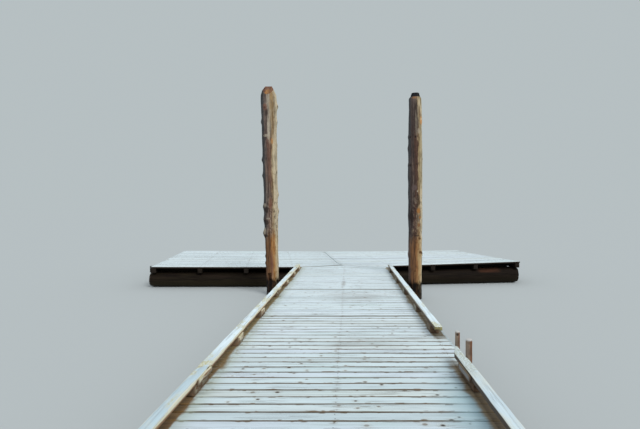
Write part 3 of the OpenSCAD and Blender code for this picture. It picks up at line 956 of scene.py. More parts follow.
def random_tone(chance):
    """Three random numbers by which a timber's colours differ from its neighbours'."""
    return np.array([chance.random() for _ in range(3)])


def noise_shift(node):
    """A random place in the noise for the trunk or post of a node."""
    return Vector((random.Random(node).uniform(0, 50),) * 3)


@functools.lru_cache(maxsize=None)
def plank_blank(length, width, height, edge, ring_gap):
    """A straight plank along X round the origin: eased edges, and rings of vertices that it can bend at."""
    bm = bmesh.new()
    bmesh.ops.create_cube(bm, size=1.0, matrix=Matrix.Diagonal((length, width, height, 1)))
    ease_edges(bm, bm.edges[:], edge, 2)
    for y in (-width / 5, width / 5):
        slice_at(bm, (0, y, 0), (0, 1, 0))
    cut_rings(bm, 0, length, max(1, round(length / ring_gap)))
    return blank(bm, "plank_blank")


def waves(chance, along, longest):
    """A smooth random line along a timber, about 1 high each way."""
    line = np.zeros_like(along)
    for share in WAVE_SHARES:
        phase = chance.uniform(0, 2 * math.pi)
        line += share * np.sin(along * 2 * math.pi / (longest * share) + phase)
    return line / sum(WAVE_SHARES)


class Warp:
    """How one timber has warped since it was sawn. Called with points of the straight one, it moves them."""

    def __init__(self, size, look, chance, uneven=1.0):
        self.size = size
        self.look = look
        self.seed = chance.random()
        self.bow = chance.uniform(-1, 1) * look.bow
        self.twist = chance.uniform(-1, 1) * look.twist
        self.cup = chance.uniform(-0.4, 1) * look.cup
        self.drop = chance.uniform(0, 1) * look.drop + look.ripple
        self.losses = [chance.random() ** 2 * look.end_loss * uneven for _ in range(2)]
        self.skew = chance.uniform(-1, 1) * look.end_loss * uneven * 0.3

    def __call__(self, points):
        length, width, height = self.size
        chance = random.Random(self.seed)
        x, y, z = points.T
        end = 2 * x / length
        side = 2 * y / width
        top = 2 * z / height
        ripple = self.look.ripple
        left = waves(chance, x, EDGE_WAVE) * ripple
        right = waves(chance, x, EDGE_WAVE) * ripple
        lift = waves(chance, x, FACE_WAVE) * ripple * 0.6
        y = y - side * ripple * 0.9 + self.bow * (0.5 - end**2) + np.where(side > 0, left, right) * abs(side)
        z = z - self.drop + self.twist * end * side + self.cup * (side**2 - 1) * (top > 0) + lift
        loss = np.where(end > 0, self.losses[0], self.losses[1]) * np.sign(end) * abs(end) ** END_POWER
        x = x - loss + self.skew * (side - np.sign(end)) * end**END_POWER * np.sign(self.skew)
        return np.stack([x, y, z], axis=1)


def add_object(name, data):
    """A new object in the scene, in place of an older one of its name."""
    old = bpy.data.objects.get(name)
    if old:
        bpy.data.objects.remove(old)
    made = bpy.data.objects.new(name, data)
    bpy.context.scene.collection.objects.link(made)
    return made


def add_piece(name, mesh, material, nodes):
    """Adds a finished mesh that stands for nodes of the frame."""
    mesh.materials.append(material)
    piece = add_object(name, mesh)
    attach(piece, "root")
    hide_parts(*nodes)


class Stack:
    """Gathers the parts of one piece into one mesh, with the values that its material reads."""

    def __init__(self):
        self.bm = bmesh.new()
        self.values = {}

    def add(self, mesh, points, **values):
        """Adds mesh with its vertices moved to points. A value is given once or for every vertex."""
        inside = np.clip(points, FRAME_BOX[0], FRAME_BOX[1])
        mesh.vertices.foreach_set("co", inside.astype(np.float32).ravel())
        self.bm.from_mesh(mesh)
        for name, value in values.items():
            wide = 3 if name in ("grain", "tone") else 1
            self.values.setdefault(name, []).append(np.broadcast_to(value, (len(points), wide)))

    def piece(self, name, material, slot, nodes, flat=False):
        """The finished piece, which stands for nodes of the frame."""
        mesh = baked(self.bm, name)
        for value, rows in self.values.items():
            wide = rows[0].shape[1] == 3
            numbers = np.concatenate(rows).astype(np.float32).ravel()
            layer = mesh.attributes.new(value, "FLOAT_VECTOR" if wide else "FLOAT", "POINT")
            layer.data.foreach_set("vector" if wide else "value", numbers)
        mesh.shade_flat() if flat else mesh.shade_smooth()
        add_piece(name, mesh, material, nodes)


def placed(points, place):
    """Points of a timber's own frame, carried to where the timber lies."""
    turn = np.array(place.to_3x3())
    return points @ turn.T + np.array(place.translation)


def settle(points):
    """The head has twisted on its logs: its corners have risen or sunk, and the joint of the rafts stands
    proud. Points low on the logs move less, so that the logs still rest at their own level."""
    x, y, z = points.T
    share = np.clip(z / LOG_TOP, 0, 1) ** 2
    hump = HUMP * np.exp(-((x - JOINT_X) ** 2 + (y - HEAD_START) ** 2) / (2 * HUMP_REACH**2))
    depth = np.clip((y - HEAD_START) / RAFT_REACH, 0, 1)
    right = np.clip((x - JOINT_X) / RAFT_REACH, 0, 1)
    left = np.clip((JOINT_X - x) / RAFT_REACH, 0, 1)
    beside = np.clip(right * 5, 0, 1)
    front = (FRONT_SLOPE * right + FRONT_CURL * right**4 + FRONT_SUNK) * beside
    back = (BACK_SLOPE * right + BACK_SUNK) * beside
    right_rise = front * (1 - depth) + back * depth
    left_rise = -LEFT_SAG * left * (1 - left) * (1 - depth) + LEFT_BACK * left * depth
    rise = np.where(x > JOINT_X, right_rise, left_rise)
    on_head = np.clip((y - HEAD_START + HEAD_EASE) / (2 * HEAD_EASE), 0, 1)
    moved = points.copy()
    moved[:, 2] += share * (hump + rise * on_head)
    return moved


def packing_board(raft, outward):
    """The place and size of a board on edge between a raft's two outermost beams, behind its front log."""
    beams = sorted(timbers(f"{raft}_beams"), key=lambda beam: beam.middle.x * outward)[-2:]
    log = timbers(f"{raft}_front_log")[0]
    behind = log.across if log.across.y > 0 else -log.across
    steps = [(beam.middle - log.middle).dot(log.along) for beam in beams]
    _, beam_width, beam_height = beams[0].size
    length = abs(steps[0] - steps[1]) - beam_width - PACKING_ROOM
    size = (length, PACKING, beam_height + PACKING_HIGHER)
    middle = log.middle + behind * PACKING_BACK + log.along * sum(steps) / 2
    middle.z = beams[0].middle.z - PACKING_BELOW
    place = Matrix.Translation(middle) @ Matrix.Rotation(math.atan2(log.along.y, log.along.x), 4, "Z")
    return size, place


def wide_gaps(node):
    """Where the boards of a deck have drawn apart: the middles of gaps wider than the others."""
    boards = timbers(node)
    pairs = list(zip(boards, boards[1:]))
    steps = [second.middle.y - first.middle.y for first, second in pairs]
    usual = sorted(steps)[len(steps) // 2]
    return [(a.middle.y + b.middle.y) / 2 for (a, b), step in zip(pairs, steps) if step > usual + WIDER_BY]


def dress_planks(
    node, name, material, look, slot, chosen=None, nails=None, spacing=1.0, open_fronts=0, uneven=1.0
):
    """Worn planks in place of a node's straight ones, or of the chosen ones. Nail heads go to nails."""
    chance = random.Random(name)
    stack = Stack()
    for number, timber in enumerate(chosen or timbers(node)):
        size = tuple(round(s, 4) for s in timber.size)
        ring_gap = look.ring_gap / 4 if timber.shaped else look.ring_gap
        mesh, straight = plank_blank(*size, look.edge, ring_gap)
        warp = Warp(size, look, chance, uneven)
        tone = random_tone(chance)
        fitted, width = timber.fit(straight)
        rim = (0.5 - abs(straight[:, 1]) / size[1]) * width
        end = (abs(straight[:, 0]) > size[0] / 2 - look.edge * 1.01).astype(float)
        front = (number < open_fronts) * (straight[:, 1] < -size[1] / 2 + look.edge * 0.1).astype(float)
        points = settle(placed(warp(fitted), timber.place))
        stack.add(
            mesh, points, grain=fitted, tone=tone, end=end[:, None], rim=rim[:, None], front=front[:, None]
        )
        if nails and size[0] > 2 * spacing:
            drive_nails(nails, timber, warp, look, size, spacing, tone)
    stack.piece(name, material, slot, [node])


@functools.lru_cache(maxsize=None)
def nail_blank():
    """A nail head, 1 in radius."""
    bm = bmesh.new()
    bmesh.ops.create_cone(bm, cap_ends=True, segments=8, radius1=1.0, radius2=0.72, depth=0.7)
    return blank(bm, "nail_blank")


def drive_nails(stack, timber, warp, look, size, spacing, tone):
    """Two nails through a board wherever it crosses a timber that carries it. Some have gone."""
    mesh, head = nail_blank()
    rows = int(size[0] / 2 / spacing)
    chance = random.Random(float(tone[0]))
    for row in range(-rows, rows + 1):
        for side in (-1, 1):
            if chance.random() < LOST_NAILS:
                continue
            stray_x, stray_y = (chance.uniform(-most, most) for most in NAIL_STRAY)
            x = row * spacing - (tone[2] - 0.5) * NAIL_SHIFT + stray_x
            y = side * look.nail_inset + stray_y
            seat = warp(np.array([[x, y, size[2] / 2]]))
            seat[:, 2] += look.nail_radius * chance.uniform(-0.1, 0.15)
            stack.add(mesh, settle(placed(head * look.nail_radius + seat, timber.place)))


def log_piece(node, name, material, look, seats):
    """Peeled logs in place of a node's turned ones, with flat notches where timbers seat on them."""
    chance = random.Random(node)
    stack = Stack()
    for log in timbers(node):
        mesh, straight, end = log_blank(log, look, seats)
        tone = random_tone(chance)
        points = settle(placed(log_shape(log, straight, look, tone), log.place))
        for seat in seats:
            off = (points[:, :2] - np.array(seat.middle.xy)) @ np.array(seat.across.xy)
            floor = points.copy()
            floor[:, 2] = seat.middle.z - seat.size[2] / 2
            lowered = np.minimum(points[:, 2], settle(floor)[:, 2])
            points[:, 2] = np.where(abs(off) < seat.size[1] / 2 + SEAT_ROOM + 0.001, lowered, points[:, 2])
        stack.add(mesh, points, grain=straight, tone=tone, end=end)
    stack.piece(name, material, "float_log", [node])


def log_blank(log, look, seats):
    """A straight log along X: rings of vertices, blunt ends, and cuts where the notches start and end."""
    length, width, _ = log.size
    lie_down = Matrix.Rotation(math.radians(90), 4, "Y")
    bm = ringed_pole(look.around, width / 2, length, look.ring_gap, axis=0, place=lie_down)
    ends = [f for f in bm.faces if abs(f.normal.x) > 0.9]
    bmesh.ops.inset_region(bm, faces=ends, thickness=width / 2 * 0.35, depth=0.0)
    back = log.place.inverted()
    for seat in seats:
        for side in (-1, 1):
            spot = seat.middle + seat.across * side * (seat.size[1] / 2 + SEAT_ROOM)
            slice_at(bm, back @ spot, back.to_3x3() @ seat.across, dist=1e-4)
    mesh, points = blank(bm, "log_blank")
    end = (abs(points[:, :1]) > length / 2 - 0.004).astype(float)
    return mesh, points, end


def log_shape(log, straight, look, tone):
    """Points of a log's blank pulled in by hollows, cracks and blunt ends, so that none reaches past the
    frame's log."""
    length, width, _ = log.size
    radius = width / 2
    shaped = straight.copy()
    shift = Vector(tone * 50.0)
    for i, (x, y, z) in enumerate(straight):
        from_end = length / 2 - abs(x)
        blunt = max(0.0, 1 - from_end / BLUNT_REACH)
        place = Vector((x * 1.6, y * 7.0, z * 7.0)) + shift
        hollow = 0.5 + 0.5 * noise.noise(place)
        crack = max(0.0, 1 - abs(noise.noise(Vector((x * 0.9, y * 19.0, z * 19.0)) + shift)) * 9)
        loss = look.hollow * (hollow + 0.7 * crack) + blunt**1.6 * radius * BLUNT_SHARE
        scale = 1 - loss / radius
        shaped[i] = (x + noise.noise(place * 2.5) * 0.006 * (from_end < 0.01), y * scale, z * scale)
    return shaped


def trunk_piece(name, node, axis, profile, knots, material, look, lean=0.0, cuts=(), pocket=None):
    """A standing trunk. Its profile is (height, radius) from the foot up. A knot is the way that it faces in
    plan, its height, its width and how far it stands out. A cut is an axed or sawn plane."""
    height = profile[-1][0]
    upright = Matrix.Translation((0, 0, height / 2))
    bm = ringed_pole(look.around, 1, height, look.ring_gap, axis=2, place=upright)
    heights, radii = zip(*profile)
    knot_layer = bm.verts.layers.float.new("knot")
    end_layer = bm.verts.layers.float.new("end")
    grain_layer = bm.verts.layers.float_vector.new("grain")
    shift = noise_shift(node)
    for vert in bm.verts:
        angle = math.atan2(vert.co.y, vert.co.x)
        z = vert.co.z
        cos, sin = math.cos(angle), math.sin(angle)
        wide, lumpy, furrow, fine = (
            noise.noise(Vector((cos, sin, 0)) * around + Vector((0, 0, z * upward)) + shift)
            for around, upward in TRUNK_WAVES
        )
        radius = float(np.interp(z, heights, radii))
        radius += 0.006 * wide + 0.009 * lumpy + look.furrow * (min(abs(furrow) * 4, 1) - 1) + 0.0035 * fine
        grown = 0.0
        for facing, knot_height, width, proud in knots:
            across = math.remainder(angle - math.radians(facing), 2 * math.pi) * radius
            off = math.hypot(across, (z - knot_height) * 0.8) / width
            if off < 3:
                radius += proud * math.exp(-off * off)
                grown = max(grown, math.exp(-(off * 1.7) ** 2))
        vert[knot_layer] = grown
        vert[grain_layer] = (cos * PILE_GRAIN, sin * PILE_GRAIN, z)
        vert.co = (cos * radius, sin * radius, z)
    if pocket:
        cut_pocket(bm, pocket, end_layer)
    for spot, way in cuts:
        cut_plane(bm, spot, way, end_layer)
    tilt = Matrix.Translation(axis) @ Matrix.Rotation(-lean, 4, "Y")
    bmesh.ops.transform(bm, matrix=tilt, verts=bm.verts)
    for vert in bm.verts:
        vert.co.z = max(vert.co.z, 0.0)
    add_piece(name, baked(bm, name), material, [node])


def cut_plane(bm, spot, way, end_layer):
    """Cuts off what lies beyond a plane and closes the cut with a flat face."""
    found = slice_at(bm, spot, way, dist=1e-5, clear_outer=True)
    rim = [item for item in found["geom_cut"] if isinstance(item, bmesh.types.BMEdge)]
    filled = bmesh.ops.edgeloop_fill(bm, edges=rim)["faces"]
    bmesh.ops.inset_region(bm, faces=filled, thickness=0.003, depth=0.0)
    for face in filled:
        face.smooth = False
        for vert in face.verts:
            vert[end_layer] = 1.0


def cut_pocket(bm, pocket, end_layer):
    """Sinks a square pocket into the near side of a trunk."""
    (x_low, x_high), (z_low, z_high), depth = pocket
    walls = []
    for face in bm.faces:
        middle = face.calc_center_median()
        if x_low < middle.x < x_high and z_low < middle.z < z_high and middle.y < 0:
            walls.append(face)
    rims = dict.fromkeys(edge for face in walls for edge in face.edges)
    made = bmesh.ops.extrude_face_region(bm, geom=[*walls, *rims])["geom"]
    moved = [item for item in made if isinstance(item, bmesh.types.BMVert)]
    bmesh.ops.translate(bm, vec=(0, depth, 0), verts=moved)
    for vert in moved:
        vert[end_layer] = 0.0


def post_piece(name, node, axis, radius, height, material):
    """A round pole with a worn top edge."""
    upright = Matrix.Translation((0, 0, height / 2))
    bm = ringed_pole(around=28, radius=radius, length=height, ring_gap=0.02, axis=2, place=upright)
    top_rim = [e for e in bm.edges if all(v.co.z > height - 1e-4 for v in e.verts)]
    ease_edges(bm, top_rim, radius * 0.25, 3)
    end_layer = bm.verts.layers.float.new("end")
    grain_layer = bm.verts.layers.float_vector.new("grain")
    shift = noise_shift(node)
    for vert in bm.verts:
        vert[end_layer] = float(vert.co.z > height - radius * 0.3)
        vert[grain_layer] = vert.co - Vector((0, 0, height))
        wobble = 1 - 0.05 * (0.5 + 0.5 * noise.noise(vert.co * 26 + shift))
        vert.co.x *= wobble
        vert.co.y *= wobble
    bmesh.ops.translate(bm, vec=axis, verts=bm.verts)
    mesh = baked(bm, name)
    mesh.shade_smooth()
    add_piece(name, mesh, material, [node])


class JettyOperator(bpy.types.Operator):
    """What the jetty's operators share"""

    bl_options = {"REGISTER", "UNDO"}

    @classmethod
    def poll(cls, context):
        return context.scene is not None


class JETTY_OT_walkway_deck(JettyOperator):
    """Lays worn boards on the three bays of the walkway and nails them down"""

    bl_idname = "jetty.walkway_deck"
    bl_label = "Walkway deck"

    def execute(self, context):
        look = context.scene.jetty_boards
        carriers = timbers("near_bay_stringers")
        spacing = carriers[-1].middle.x - WALK_X
        nails = Stack()
        inner = Wear(stain_reach=0.009, gap_shade=0.95, end_stain=0.6)
        outer = Wear(stain_reach=0.0025, gap_shade=0.3, end_stain=0.5)
        joint = (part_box("near_bay_boards")[1].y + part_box("far_bay_boards")[0].y) / 2
        for bay, wear in zip(BAYS, (inner, inner, outer)):
            node = f"{bay}_boards"
            seams = [(gap, SEAM_HALF) for gap in wide_gaps(node)]
            seams += [(joint, SEAM_HALF)] * (bay != "shore_bay")
            seams += [(HEAD_START, HEAD_SEAM_HALF)] * (bay == "far_bay")
            wood = board_paint(node, look, wear, HALF_DECK, spacing, seams, True)
            dress_planks(node, f"{bay}_worn_boards", wood, look, "deck_board", nails=nails, spacing=spacing)
        nails.piece("walkway_nails", iron_paint("walkway_nails"), None, [], flat=True)
        return {"FINISHED"}


class JETTY_OT_raft_decks(JettyOperator):
    """Lays worn boards on the two rafts of the head and nails them down"""

    bl_idname = "jetty.raft_decks"
    bl_label = "Raft decks"

    def execute(self, context):
        look = context.scene.jetty_boards
        beams = timbers("right_raft_beams")
        spacing = (beams[1].middle - beams[0].middle).xy.length
        half = timbers("left_raft_boards")[0].size[0] / 2
        wear = Wear(stain_reach=0.004, gap_shade=0.6, end_stain=0.15)
        wood = board_paint("raft_boards", look, wear, half, spacing, [], False)
        nails = Stack()
        for raft in RAFTS:
            dress_planks(
                f"{raft}_boards", f"{raft}_worn_boards", wood, look, "deck_board",
                nails=nails, spacing=spacing, open_fronts=OPEN_FRONTS, uneven=0.3,
            )
        nails.piece("raft_nails", iron_paint("raft_nails"), None, [], flat=True)
        return {"FINISHED"}


class JETTY_OT_framing(JettyOperator):
    """Roughens the timbers under the decks, and packs the rafts' outer ends with a board each"""

    bl_idname = "jetty.framing"
    bl_label = "Framing"

    def execute(self, context):
        look = context.scene.jetty_framing
        wood = framing_paint("framing", look)
        for bay in BAYS:
            for part in ("stringers", "headers", "sleepers"):
                dress_planks(f"{bay}_{part}", f"{bay}_damp_{part}", wood, look, "framing_timber")
        packing = Stack()
        for raft, outward in RAFTS.items():
            dress_planks(f"{raft}_beams", f"{raft}_damp_beams", wood, look, "framing_timber")
            size, place = packing_board(raft, outward)
            mesh, straight = plank_blank(*size, look.edge, look.ring_gap)
            points = settle(placed(straight, place))
            packing.add(mesh, points, grain=straight, tone=PACKING_TONE, end=0.0)
        packing.piece("raft_packing_boards", wood, "framing_timber", [])
        return {"FINISHED"}


class JETTY_OT_float_logs(JettyOperator):
    """Floats the bays and the rafts on wet peeled logs"""

    bl_idname = "jetty.float_logs"
    bl_label = "Float logs"

    def execute(self, context):
        look = context.scene.jetty_logs
        wood = log_paint("float_logs", look)
        for bay in BAYS:
            log_piece(f"{bay}_logs", f"{bay}_peeled_logs", wood, look, timbers(f"{bay}_sleepers"))
        for raft in RAFTS:
            for place in ("front", "middle", "back"):
                name = f"{raft}_peeled_{place}_log"
                log_piece(f"{raft}_{place}_log", name, wood, look, timbers(f"{raft}_beams"))
        return {"FINISHED"}


class JETTY_OT_rails(JettyOperator):
    """Lays the worn rail planks along both sides of the walkway, on their blocks"""

    bl_idname = "jetty.rails"
    bl_label = "Rails"

    def execute(self, context):
        look = context.scene.jetty_rails
        wood = rail_paint("rails", look)
        for node in RAILS:
            dress_planks(node, f"{node}_plank", wood, look, "rail_plank")
        rail_width = timbers("left_rail_near")[0].size[1]
        for side in ("left", "right"):
            node = f"{side}_rail_blocks"
            cleats = [timber for timber in timbers(node) if timber.size[1] < rail_width / 2]
            blocks = [timber for timber in timbers(node) if timber.size[1] >= rail_width / 2]
            for name, chosen, shaded in (("cleats", cleats, look.mauve), ("blocks", blocks, look.shaded_earth)):
                wood = block_paint(f"{side}_{name}", look, chosen[0].size[2] / 2, shaded)
                dress_planks(node, f"{side}_worn_{name}", wood, look, "rail_plank", chosen=chosen)
        return {"FINISHED"}


class JETTY_OT_left_pile(JettyOperator):
    """Stands the tall left pile, thicker towards its hewn top"""

    bl_idname = "jetty.left_pile"
    bl_label = "Left pile"

    def execute(self, context):
        look = context.scene.jetty_piles
        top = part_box("left_pile")[1].z
        axis = Vector((WALK_X - 1.67, HEAD_START - 1.05, 0))
        profile = [(-0.05, 0.142), (0.7, 0.146), (1.5, 0.152), (2.4, 0.162), (3.3, 0.168), (4.2, 0.175),
                   (4.42, 0.186), (top - 0.19, 0.182), (top, 0.180)]
        knots = [
            (-8, 4.39, 0.055, 0.038), (-12, 4.03, 0.05, 0.030), (184, 4.05, 0.05, 0.024),
            (250, 4.36, 0.05, 0.020), (235, 3.72, 0.05, 0.018), (190, 3.16, 0.05, 0.026),
            (182, 2.80, 0.045, 0.024), (-25, 2.86, 0.04, 0.020), (0, 3.50, 0.05, 0.016),
            (215, 2.06, 0.075, 0.040), (220, 1.77, 0.085, 0.042), (200, 1.45, 0.075, 0.046),
            (5, 2.34, 0.05, 0.024), (0, 1.95, 0.06, 0.024), (185, 0.91, 0.035, 0.020),
            (200, 0.75, 0.035, 0.018), (75, 3.6, 0.05, 0.02), (110, 2.3, 0.06, 0.024),
            (60, 1.3, 0.05, 0.02),
        ]
        cuts = [
            ((0, 0, top - 0.012), (0, 0, 1)),
            ((-0.178, 0, top - 0.20), (-0.85, 0.0, 0.53)),
            ((0.176, 0, top - 0.20), (0.90, 0.05, 0.42)),
            ((0, -0.18, top - 0.21), (0.05, -0.88, 0.46)),
            ((0, 0.18, top - 0.19), (-0.1, 0.88, 0.48)),
        ]
        # The slate and dark zones on the left side are partly painted shade, and the cream, tan and ochre on
        # the right side partly painted light, over the trunk's own colours
        zones = [
            (look.mauve, 0.75, (-0.8, -0.05), (1.45, 4.7)),
            (look.red, 0.65, (-0.3, 0.35), (2.45, 3.65)),
            (look.red, 0.5, (-0.25, 0.35), (1.45, 2.3)),
            (look.pale, 0.75, (-0.1, 0.24), (3.68, 4.68)),
            (look.ochre, 0.85, (0.28, 0.75), (3.6, 5.2)),
            (look.cream, 0.8, (0.72, 1.7), (3.6, 5.2)),
            (look.ochre, 0.7, (0.3, 0.7), (1.4, 3.65)),
            (look.cream, 0.75, (0.5, 1.7), (1.4, 3.65)),
            (look.slate, 0.9, (-1.7, -0.55), (1.35, 5.2)),
            (look.umber, 0.97, (-1.7, 0.22), (-1.0, 1.42)),
            (look.orange, 0.95, (0.05, 0.7), (0.85, 1.42)),
            (look.orange, 0.95, (0.25, 0.75), (-1.0, 0.9)),
            (look.dark, 0.5, (-1.7, -0.62), (-1.0, 1.42)),
            (look.tan, 0.85, (0.58, 1.7), (-1.0, 1.42)),
            (look.cream, 0.9, (0.85, 1.7), (-1.0, 1.42)),
        ]
        # Over the burls near 2.06, 1.77 and 1.45 m the pale marks are painted highlights on their tops and
        # the dark marks painted shadows under them; the dark mark at 4.22 m is the painted shade of a hollow
        marks = [
            (look.red, 0.7, -0.35, 4.37, 0.28, 0.09), (look.dark, 0.6, -0.25, 4.22, 0.2, 0.08),
            (look.pale, 0.6, -0.3, 3.71, 0.4, 0.03), (look.fresh, 0.6, 0.45, 3.58, 0.13, 0.08),
            (look.red, 0.7, 0.05, 2.14, 0.28, 0.14), (look.pale, 0.35, -0.72, 2.10, 0.22, 0.05),
            (look.dark, 0.7, -0.5, 1.98, 0.25, 0.08), (look.pale, 0.45, -0.25, 1.79, 0.26, 0.024),
            (look.dark, 0.7, -0.45, 1.70, 0.3, 0.06), (look.pale, 0.6, -0.85, 1.50, 0.16, 0.09),
            (look.dark, 0.8, -0.7, 1.39, 0.3, 0.035), (look.red, 0.6, 0.12, 0.75, 0.2, 0.34),
        ]
        wood = pile_paint("left_pile", look, zones, marks, (1.4, 2.3), 0.7, top)
        pocket = ((-0.08, 0.0), (0.35, 0.53), 0.07)
        lean = math.radians(1.2)
        trunk_piece("left_hewn_pile", "left_pile", axis, profile, knots, wood, look, lean, cuts, pocket)
        return {"FINISHED"}


class JETTY_OT_right_pile(JettyOperator):
    """Stands the tall right pile with its black bevelled top"""

    bl_idname = "jetty.right_pile"
    bl_label = "Right pile"

    def execute(self, context):
        look = context.scene.jetty_piles
        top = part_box("right_pile")[1].z
        axis = Vector((WALK_X + 1.59, HEAD_START - 1.6, 0))
        shoulder = top - 0.092
        profile = [(0.0, 0.143), (0.9, 0.147), (1.9, 0.153), (2.7, 0.157), (3.4, 0.154), (4.0, 0.146),
                   (4.3, 0.143), (shoulder - 0.05, 0.139), (shoulder - 0.012, 0.128), (shoulder, 0.110),
                   (shoulder + 0.004, 0.106), (top, 0.080)]
        knots = [
            (185, 3.61, 0.035, 0.012), (268, 3.62, 0.035, 0.006), (182, 3.35, 0.05, 0.014),
            (184, 2.98, 0.04, 0.014), (-20, 3.12, 0.03, 0.008), (-30, 1.67, 0.03, 0.010),
            (-30, 1.35, 0.035, 0.012), (-22, 1.02, 0.055, 0.016), (180, 1.0, 0.05, 0.016),
            (265, 0.63, 0.03, 0.006), (90, 2.2, 0.05, 0.016), (70, 3.3, 0.05, 0.016),
            (120, 1.2, 0.05, 0.018),
        ]
        # The slate and dark zones on the left side are partly painted shade, and the cream, tan and ochre on
        # the right side partly painted light, over the trunk's own colours
        zones = [
            (look.mauve, 0.9, (-1.2, -0.1), (1.2, 5.2)),
            (look.red, 0.75, (-0.3, 0.3), (1.2, 3.7)),
            (look.dark, 0.55, (-0.75, 0.3), (1.2, 4.42)),
            (look.ochre, 0.85, (0.28, 0.75), (1.2, 5.2)),
            (look.cream, 0.85, (0.70, 1.7), (1.2, 5.2)),
            (look.olive, 0.55, (0.35, 0.9), (2.5, 5.2)),
            (look.slate, 0.8, (-1.7, -0.72), (1.2, 5.2)),
            (look.umber, 0.97, (-0.9, 0.42), (-1.0, 1.35)),
            (look.orange, 0.45, (-0.05, 0.5), (-1.0, 1.35)),
            (look.ochre, 0.9, (0.42, 0.9), (-1.0, 1.35)),
            (look.tan, 0.6, (0.5, 1.0), (-1.0, 1.35)),
            (look.cream, 0.85, (0.88, 1.7), (-1.0, 1.35)),
            (look.mauve, 0.7, (-1.7, -0.72), (-1.0, 1.3)),
        ]
        marks = [
            (look.orange, 0.45, -0.25, 4.47, 0.5, 0.03), (look.cream, 0.75, 0.5, 4.36, 0.14, 0.1),
            (look.cream, 0.7, 0.78, 4.22, 0.15, 0.12), (look.umber, 0.6, 0.6, 4.12, 0.12, 0.1),
            (look.fresh, 0.9, 0.78, 3.97, 0.2, 0.1), (look.cream, 0.75, 0.8, 4.0, 0.1, 0.03),
            (look.pale, 0.45, 0.42, 3.73, 0.2, 0.07), (look.dark, 0.95, -0.1, 3.6, 0.14, 0.025),
            (look.dark, 0.9, -0.82, 3.6, 0.12, 0.025), (look.dark, 0.8, -0.75, 2.98, 0.18, 0.03),
            (look.dark, 0.7, 0.1, 3.0, 0.1, 0.025), (look.mauve, 0.8, -0.25, 2.48, 0.4, 0.07),
            (look.pale, 0.7, 0.22, 2.40, 0.1, 0.02), (look.dark, 0.6, 0.4, 2.2, 0.3, 0.14),
            (look.dark, 0.9, 0.15, 2.06, 0.14, 0.03), (look.orange, 0.85, 0.38, 1.97, 0.28, 0.06),
            (look.slate, 0.6, 0.45, 1.80, 0.2, 0.09), (look.orange, 0.8, 0.62, 1.82, 0.14, 0.03),
            (look.umber, 0.95, 0.5, 1.65, 0.24, 0.045), (look.dark, 0.8, -0.6, 1.85, 0.3, 0.16),
            (look.dark, 0.6, 0.1, 1.42, 0.5, 0.022), (look.scar, 0.85, 0.55, 1.355, 0.2, 0.028),
            (look.scar, 0.85, 0.7, 1.05, 0.22, 0.035), (look.scar, 0.8, -0.15, 0.64, 0.1, 0.03),
        ]
        wood = pile_paint("right_pile", look, zones, marks, (1.3, 2.3), 0.4, top, shoulder)
        trunk_piece("right_capped_pile", "right_pile", axis, profile, knots, wood, look)
        return {"FINISHED"}


class JETTY_OT_edge_posts(JettyOperator):
    """Stands the two short posts beside the gap in the right rail"""

    bl_idname = "jetty.edge_posts"
    bl_label = "Edge posts"

    def execute(self, context):
        look = context.scene.jetty_piles
        wood = post_paint("edge_posts", look)
        for node in ("near_edge_post", "far_edge_post"):
            low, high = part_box(node)
            radius = (high.x - low.x) / 2
            axis = Vector(((low.x + high.x) / 2, (low.y + high.y) / 2, 0))
            post_piece(f"{node}_pole", node, axis, radius, high.z, wood)
        return {"FINISHED"}


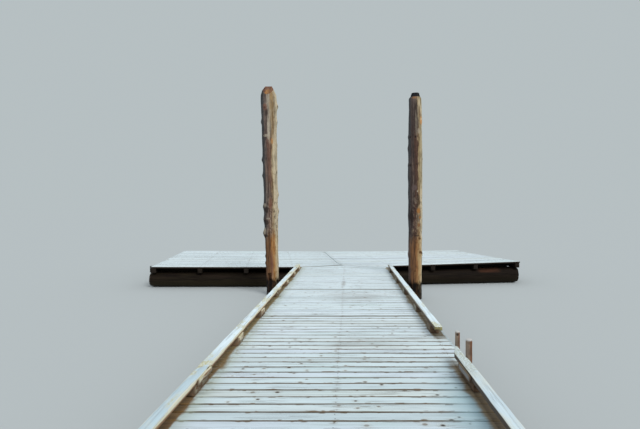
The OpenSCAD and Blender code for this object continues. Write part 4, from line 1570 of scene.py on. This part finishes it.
class JETTY_OT_stage(JettyOperator):
    """Sets the camera, a plain pale floor and soft light"""

    bl_idname = "jetty.stage"
    bl_label = "Camera, floor and light"

    def execute(self, context):
        scene = context.scene
        look = scene.jetty_stage
        lens = bpy.data.cameras.new("eye")
        lens.sensor_width = 36.0
        lens.lens = look.lens
        lens.shift_x = look.shift
        lens.clip_end = 1000.0
        scene.camera = add_object("eye", lens)
        scene.camera.location = look.eye
        scene.camera.rotation_euler = (math.radians(90) - look.down, 0, 0)

        bm = bmesh.new()
        bmesh.ops.create_grid(bm, x_segments=2, y_segments=2, size=400.0)
        floor = add_object("floor", baked(bm, "floor"))
        floor.location.z = -0.001
        paint = Paint("floor")
        paint.plug(paint.shader.inputs["Base Color"], tuple(look.floor))
        paint.plug(paint.shader.inputs["Roughness"], 0.9)
        paint.plug(paint.shader.inputs["Specular IOR Level"], 0.0)
        floor.data.materials.append(paint.material)

        # The camera sees the plain backdrop, also in shiny faces. Everything else gets the light
        scene.world = bpy.data.worlds.new("surroundings")
        maker = NodeMaker(scene.world)
        light = maker.node("ShaderNodeBackground", {}, {"Color": look.sky, "Strength": look.sky_light})
        backdrop = maker.node("ShaderNodeBackground", {}, {"Color": look.backdrop})
        ray = maker.node("ShaderNodeLightPath", {}, {})
        plain = ray.at("Is Camera Ray")
        for kind in ("Is Glossy Ray", "Is Transmission Ray"):
            plain = maker.math("MAXIMUM", plain, ray.at(kind))
        either = maker.node("ShaderNodeMixShader", {}, {0: plain, 1: light, 2: backdrop})
        maker.plug(maker.nodes["World Output"].inputs["Surface"], either)

        lamp = bpy.data.lights.new("soft_lamp", "SUN")
        lamp.energy = look.sun_light
        lamp.angle = math.radians(25)
        lamp.color = (1.0, 0.98, 0.95)
        add_object("soft_lamp", lamp).rotation_euler = (math.radians(38), math.radians(30), 0)
        scene.view_settings.view_transform = "Standard"
        return {"FINISHED"}


SETTINGS = {
    "jetty_boards": JettyBoards,
    "jetty_rails": JettyRails,
    "jetty_framing": JettyFraming,
    "jetty_logs": JettyLogs,
    "jetty_piles": JettyPiles,
    "jetty_stage": JettyStage,
}
OPERATORS = (
    JETTY_OT_walkway_deck, JETTY_OT_raft_decks, JETTY_OT_framing, JETTY_OT_float_logs, JETTY_OT_rails,
    JETTY_OT_left_pile, JETTY_OT_right_pile, JETTY_OT_edge_posts, JETTY_OT_stage,
)


class JETTY_PT_sidebar(bpy.types.Panel):
    """Lists the jetty's operators and settings"""

    bl_label = "Floating log jetty"
    bl_space_type = "VIEW_3D"
    bl_region_type = "UI"
    bl_category = "Jetty"

    def draw(self, context):
        for operator in OPERATORS:
            self.layout.operator(operator.bl_idname)
        for name, group in SETTINGS.items():
            box = self.layout.box()
            box.label(text=group.__doc__)
            for prop in group.__annotations__:
                box.prop(getattr(context.scene, name), prop)


def register():
    for group in SETTINGS.values():
        bpy.utils.register_class(group)
    for name, group in SETTINGS.items():
        setattr(bpy.types.Scene, name, bpy.props.PointerProperty(type=group))
    for operator in OPERATORS:
        bpy.utils.register_class(operator)
    bpy.utils.register_class(JETTY_PT_sidebar)


def unregister():
    bpy.utils.unregister_class(JETTY_PT_sidebar)
    for operator in reversed(OPERATORS):
        bpy.utils.unregister_class(operator)
    for name in SETTINGS:
        delattr(bpy.types.Scene, name)
    for group in reversed(SETTINGS.values()):
        bpy.utils.unregister_class(group)


def main():
    register()
    for operator in OPERATORS:
        group, name = operator.bl_idname.split(".")
        getattr(getattr(bpy.ops, group), name)()


if __name__ == "__main__":
    main()
